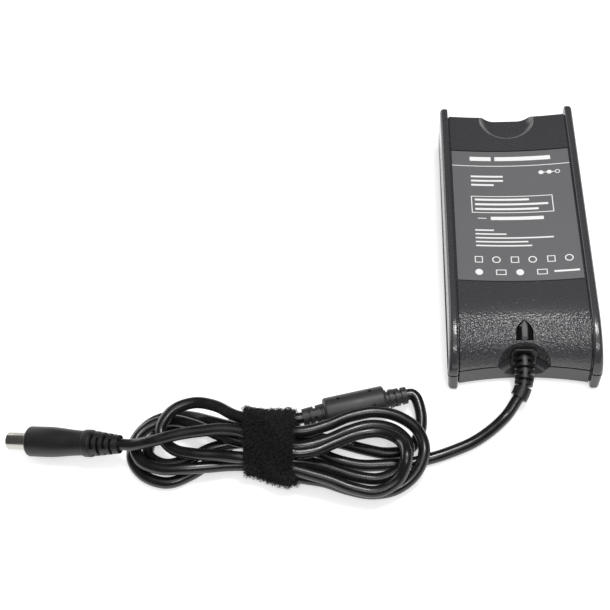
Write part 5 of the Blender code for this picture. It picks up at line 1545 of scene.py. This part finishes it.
for name, start, way in (
    ("choke_boot_left", choke_start, -choke_way),
    ("choke_boot_right", choke_end, choke_way),
):
    marks = np.linspace(0, CHOKE_BOOT_LENGTH, 60)
    line = [tuple(start + way * float(mark)) for mark in marks]
    radii = CHOKE_BOOT_RADIUS - 0.0005 * marks / CHOKE_BOOT_LENGTH
    mesh = slotted_boot(
        name,
        line,
        radii,
        choke_rubber,
        first_slot=0.0008,
        slot_pitch=0.0027,
        slot_width=0.0010,
        rows=3.0,
        slot_depth=0.0010,
        bridge=0.34,
        turn=0.4,
        step=BOOT_STEP,
    )
    choke_pieces.append(link(name, mesh))
for piece in choke_pieces:
    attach(piece, "root")
    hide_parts("ferrite_overmould")


# ---------------------------------------------------------------- tie strap
# Hook-and-loop tape, 18 mm wide, wound twice round the hank with its second turn set over to the
# left. Its loop side faces out, brushed to a short black pile.

STRAP_CLEARANCE = 0.0004
STRAP_LAYER = 0.0007
STRAP_WIDTH = 0.0182
STRAP_SHIFT = 0.0017
STRAP_START = -0.6
STRAP_TURNS = 2.05
STRAP_STATIONS = 150
STRAP_STATIONS_ACROSS = 13
PILE_COUNT = 20000
FIBRE_LENGTH = 0.0016
FIBRE_RADIUS = 0.00008
PILE_SEED = 7


def strands_at(path, x):
    """(y, z) of each place where the cord passes through an upright plane, and its slope there."""
    places = []
    slopes = []
    for a, b in zip(path, path[1:]):
        if (a[0] - x) * (b[0] - x) < 0:
            slope = (b[1:] - a[1:]) / (b[0] - a[0])
            places.append(a[1:] + slope * (x - a[0]))
            slopes.append(slope)
    return np.array(places), np.array(slopes)


def wrap_point(x, angle, rise):
    """A point of a band drawn tight round the strands at x, seen at an angle, raised above it."""
    places, slopes = strands_at(cord_line, x)
    facing = np.array((math.cos(angle), math.sin(angle)))
    half_widths = CORD_RADIUS * np.sqrt(1 + (slopes @ facing) ** 2)
    outermost = (places @ facing + half_widths).argmax()
    reach = half_widths[outermost] + STRAP_CLEARANCE + rise
    y, z = places[outermost] + facing * reach
    return (x, y, max(z, 0.0004))


def strap_mesh():
    """A ribbon, spiralled two turns round the waist: each station holds both edges' thickness."""
    rings = []
    middle = sum(WAIST_X) / 2
    for u in np.linspace(0, 1, STRAP_STATIONS):
        turn = STRAP_TURNS * u
        angle = STRAP_START - 2 * math.pi * turn
        layer = STRAP_LAYER * smooth_step(min(max(turn - 0.85, 0.0) / 0.3, 1.0))
        shift = STRAP_SHIFT * (1 - 2 * smooth_step(min(turn / STRAP_TURNS * 1.15, 1.0)))
        outer = []
        inner = []
        for v in np.linspace(-0.5, 0.5, STRAP_STATIONS_ACROSS):
            x = middle + shift + v * STRAP_WIDTH
            outer.append(wrap_point(x, angle, layer + STRAP_LAYER * 0.95))
            inner.append(wrap_point(x, angle, layer))
        rings.append(outer + inner[::-1])
    return skin("strap", rings)


def loop_pile_tree():
    """Geometry Nodes: scatters short bent fibres over the tape, each leaning its own way, from a
    fixed seed. Where the tape faces the ground the pile lies crushed, so none stand there. The
    fibres are several times as thick as in life, to show."""
    tree = bpy.data.node_groups.new("loop pile", "GeometryNodeTree")
    tree.interface.new_socket("Geometry", in_out="INPUT", socket_type="NodeSocketGeometry")
    for name in ("Fibres per Area", "Fibre Length", "Fibre Radius"):
        tree.interface.new_socket(name, in_out="INPUT", socket_type="NodeSocketFloat")
    tree.interface.new_socket("Seed", in_out="INPUT", socket_type="NodeSocketInt")
    tree.interface.new_socket("Material", in_out="INPUT", socket_type="NodeSocketMaterial")
    tree.interface.new_socket("Geometry", in_out="OUTPUT", socket_type="NodeSocketGeometry")
    given = tree.nodes.new("NodeGroupInput").outputs
    normal = add(tree, "GeometryNodeInputNormal").outputs[0]
    facing = add(tree, "ShaderNodeSeparateXYZ", {0: normal}).outputs[2]
    free = add(tree, "ShaderNodeMath", {0: facing, 1: -0.6}, operation="GREATER_THAN").outputs[0]
    scattered = add(
        tree,
        "GeometryNodeDistributePointsOnFaces",
        {
            "Mesh": given["Geometry"],
            "Selection": free,
            "Density": given["Fibres per Area"],
            "Seed": given["Seed"],
        },
    )
    arc = add(
        tree,
        "GeometryNodeCurvePrimitiveBezierSegment",
        {
            "Resolution": 2,
            "Start": (0, 0, 0),
            "Start Handle": (0, 0, 0.7),
            "End Handle": (0.35, 0, 1.0),
            "End": (0.8, 0, 0.55),
        },
    )
    length = add(tree, "GeometryNodeTransform", {"Geometry": arc.outputs[0]})
    size = add(tree, "ShaderNodeCombineXYZ", {axis: given["Fibre Length"] for axis in range(3)})
    tree.links.new(size.outputs[0], length.inputs["Scale"])
    round_wire = add(
        tree, "GeometryNodeCurvePrimitiveCircle", {"Resolution": 3, "Radius": given["Fibre Radius"]}
    )
    fibre = add(
        tree,
        "GeometryNodeCurveToMesh",
        {"Curve": length.outputs[0], "Profile Curve": round_wire.outputs[0]},
    )
    spin = add(
        tree,
        "FunctionNodeRandomValue",
        {0: (-0.75, -0.75, -math.pi), 1: (0.75, 0.75, math.pi), "Seed": given["Seed"]},
        data_type="FLOAT_VECTOR",
    )
    leaned = add(
        tree,
        "FunctionNodeRotateEuler",
        {0: scattered.outputs["Rotation"], 1: spin.outputs[0]},
        space="LOCAL",
    )
    grown = add(
        tree, "FunctionNodeRandomValue", {2: 0.45, 3: 1.25, "Seed": given["Seed"]}, data_type="FLOAT"
    )
    placed = add(
        tree,
        "GeometryNodeInstanceOnPoints",
        {
            "Points": scattered.outputs["Points"],
            "Instance": fibre.outputs[0],
            "Rotation": leaned.outputs[0],
            "Scale": grown.outputs[1],
        },
    )
    real = add(tree, "GeometryNodeRealizeInstances", {0: placed.outputs[0]})
    painted = add(
        tree, "GeometryNodeSetMaterial", {"Geometry": real.outputs[0], "Material": given["Material"]}
    )
    tree.links.new(painted.outputs[0], tree.nodes.new("NodeGroupOutput").inputs[0])
    return tree


def brushed_nylon(name, low, high, gloss):
    """Brushed nylon loops: black and dull, with a soft sheen that the fibre tips catch. Specks of the
    lighter shade are painted highlight on those tips.
    """
    material, tree, output = material_tree(name)
    place = add(tree, "ShaderNodeTexCoord").outputs["Object"]
    tufts = add(tree, "ShaderNodeTexNoise", {"Vector": place, "Scale": 1400.0, "Detail": 2.0})
    painted_tip_sheen = add(tree, "ShaderNodeMapRange", {0: tufts.outputs[0], 1: 0.4, 2: 0.65, 3: 0.0, 4: 1.0})
    # Specks of the lighter shade are painted highlight: fibre tips that catch the light.
    colour = add(
        tree, "ShaderNodeMix", {0: painted_tip_sheen.outputs[0], 6: linear(low), 7: linear(high)}, data_type="RGBA"
    )
    bump = add(tree, "ShaderNodeBump", {"Height": tufts.outputs[0], "Strength": 0.8, "Distance": 0.0004})
    shader = add(
        tree,
        "ShaderNodeBsdfPrincipled",
        {
            "Base Color": colour.outputs[2],
            "Roughness": 0.85,
            "Normal": bump.outputs[0],
            "Specular IOR Level": gloss,
            "Sheen Weight": 0.05,
            "Sheen Roughness": 0.5,
        },
    )
    tree.links.new(shader.outputs[0], output.inputs["Surface"])
    return material


nylon = brushed_nylon("brushed black nylon", "#040404", "#0B0B0B", 0.2)
# The fibres' lighter shade is partly painted highlight, for tips that catch the light.
fibre_nylon = brushed_nylon("nylon loop fibres", "#030303", "#2C2C2E", 0.3)
tape = soften(strap_mesh(), math.radians(60))
tape.materials.append(nylon)
area = sum(polygon.area for polygon in tape.polygons) / 2
pile_host = link("pile_host", tape.copy())
LOOP_PILE = loop_pile_tree()
growth = pile_host.modifiers.new("pile", "NODES")
growth.node_group = LOOP_PILE
sockets = {s.name: s.identifier for s in LOOP_PILE.interface.items_tree if s.in_out == "INPUT"}
growth[sockets["Fibres per Area"]] = PILE_COUNT / area / 2
growth[sockets["Fibre Length"]] = FIBRE_LENGTH
growth[sockets["Fibre Radius"]] = FIBRE_RADIUS
growth[sockets["Seed"]] = PILE_SEED
growth[sockets["Material"]] = fibre_nylon
pile = evaluated(pile_host, "pile")
strap_piece = link("strap_tape", tape)
pile_piece = link("strap_pile", pile)
for piece in (strap_piece, pile_piece):
    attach(piece, "root")
    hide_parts("tie_strap")


# ---------------------------------------------------------------- plug
# A satin overmould that tapers to a ring and a slotted boot, on a nickel-plated barrel with a
# rolled lip.

PLUG_RADIUS = 0.0065
PLUG_END_RADIUS = 0.0053
PLUG_RING_RADIUS = 0.00585
PLUG_BOOT_END = 0.0041
PLUG_ROUND = 0.0011
PLUG_RING_ROUND = 0.0004
BARREL_RADIUS = 0.0037
BARREL_WALL = 0.0004
BARREL_DEPTH = 0.0208
BARREL_LIP = 0.0003

# The grip's rubber is blacker than the choke's, with the same satin gloss.
plug_rubber = moulded("satin black overmould", "#111112", "#171718", 0.44, 0.0003, 0.00005)
shoulder = BARREL_SHOWN + PLUG_LENGTH
profile = [(BARREL_SHOWN, BARREL_RADIUS + 0.00005)]
profile += rounded_end(BARREL_SHOWN, PLUG_RADIUS, PLUG_ROUND, 1, 8)
for u in np.linspace(0, 1, 12):
    distance = BARREL_SHOWN + PLUG_LENGTH * (0.35 + 0.63 * u)
    profile.append((distance, PLUG_RADIUS + (PLUG_END_RADIUS - PLUG_RADIUS) * smooth_step(u)))
profile += [(shoulder, PLUG_END_RADIUS)]
ring_edge = rounded_end(shoulder, PLUG_RING_RADIUS, PLUG_RING_ROUND, 1, 4)
profile += ring_edge
ring_end = shoulder + PLUG_RING_LENGTH
profile += [(ring_end - (distance - shoulder), radius) for distance, radius in ring_edge[::-1]]
profile += [(ring_end, PLUG_RING_RADIUS - 0.0016)]
grip = soften(turned("grip", PLUG_TIP, PLUG_AXIS, profile), math.radians(40))
grip.materials.append(plug_rubber)
marks = np.linspace(0, PLUG_BOOT_LENGTH, 80)
line = [tuple(Vector(PLUG_TIP) + PLUG_AXIS * float(ring_end - 0.0006 + mark)) for mark in marks]
tail = slotted_boot(
    "tail",
    line,
    PLUG_RING_RADIUS - 0.0002 + (PLUG_BOOT_END - PLUG_RING_RADIUS) * marks / PLUG_BOOT_LENGTH,
    plug_rubber,
    first_slot=0.0012,
    slot_pitch=0.0027,
    slot_width=0.00125,
    rows=4.0,
    slot_depth=0.0019,
    bridge=0.30,
    turn=0.3,
    step=BOOT_STEP,
)
outside = [(BARREL_DEPTH, BARREL_RADIUS)] + [
    (BARREL_LIP * (1 - math.sin(a)), BARREL_RADIUS - BARREL_LIP * (1 - math.cos(a)) * 0.6)
    for a in np.linspace(0, math.pi / 2, 5)
]
inside = [(BARREL_LIP * 0.5, BARREL_RADIUS - BARREL_WALL), (BARREL_DEPTH, BARREL_RADIUS - BARREL_WALL)]


def pipe_mesh(name, profile):
    """A pipe turned about the plug's axis from its closed profile."""
    way = PLUG_AXIS
    side = way.cross(Vector((0, 0, 1))).normalized()
    up = side.cross(way)
    rings = []
    for k in range(72):
        angle = 2 * math.pi * k / 72
        out = side * math.cos(angle) + up * math.sin(angle)
        rings.append([Vector(PLUG_TIP) + way * distance + out * radius for distance, radius in profile])
    return skin(name, rings, closed=True)


barrel = soften(pipe_mesh("barrel", outside + inside), math.radians(40))
barrel.materials.append(nickel)
for name, mesh, node, slot in (
    ("plug_grip", grip, "plug_overmould", "overmould"),
    ("plug_tail", tail, "plug_overmould", "overmould"),
    ("plug_shell", barrel, "plug_barrel", "barrel_metal"),
):
    piece = link(name, mesh)
    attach(piece, "root")
    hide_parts(node)
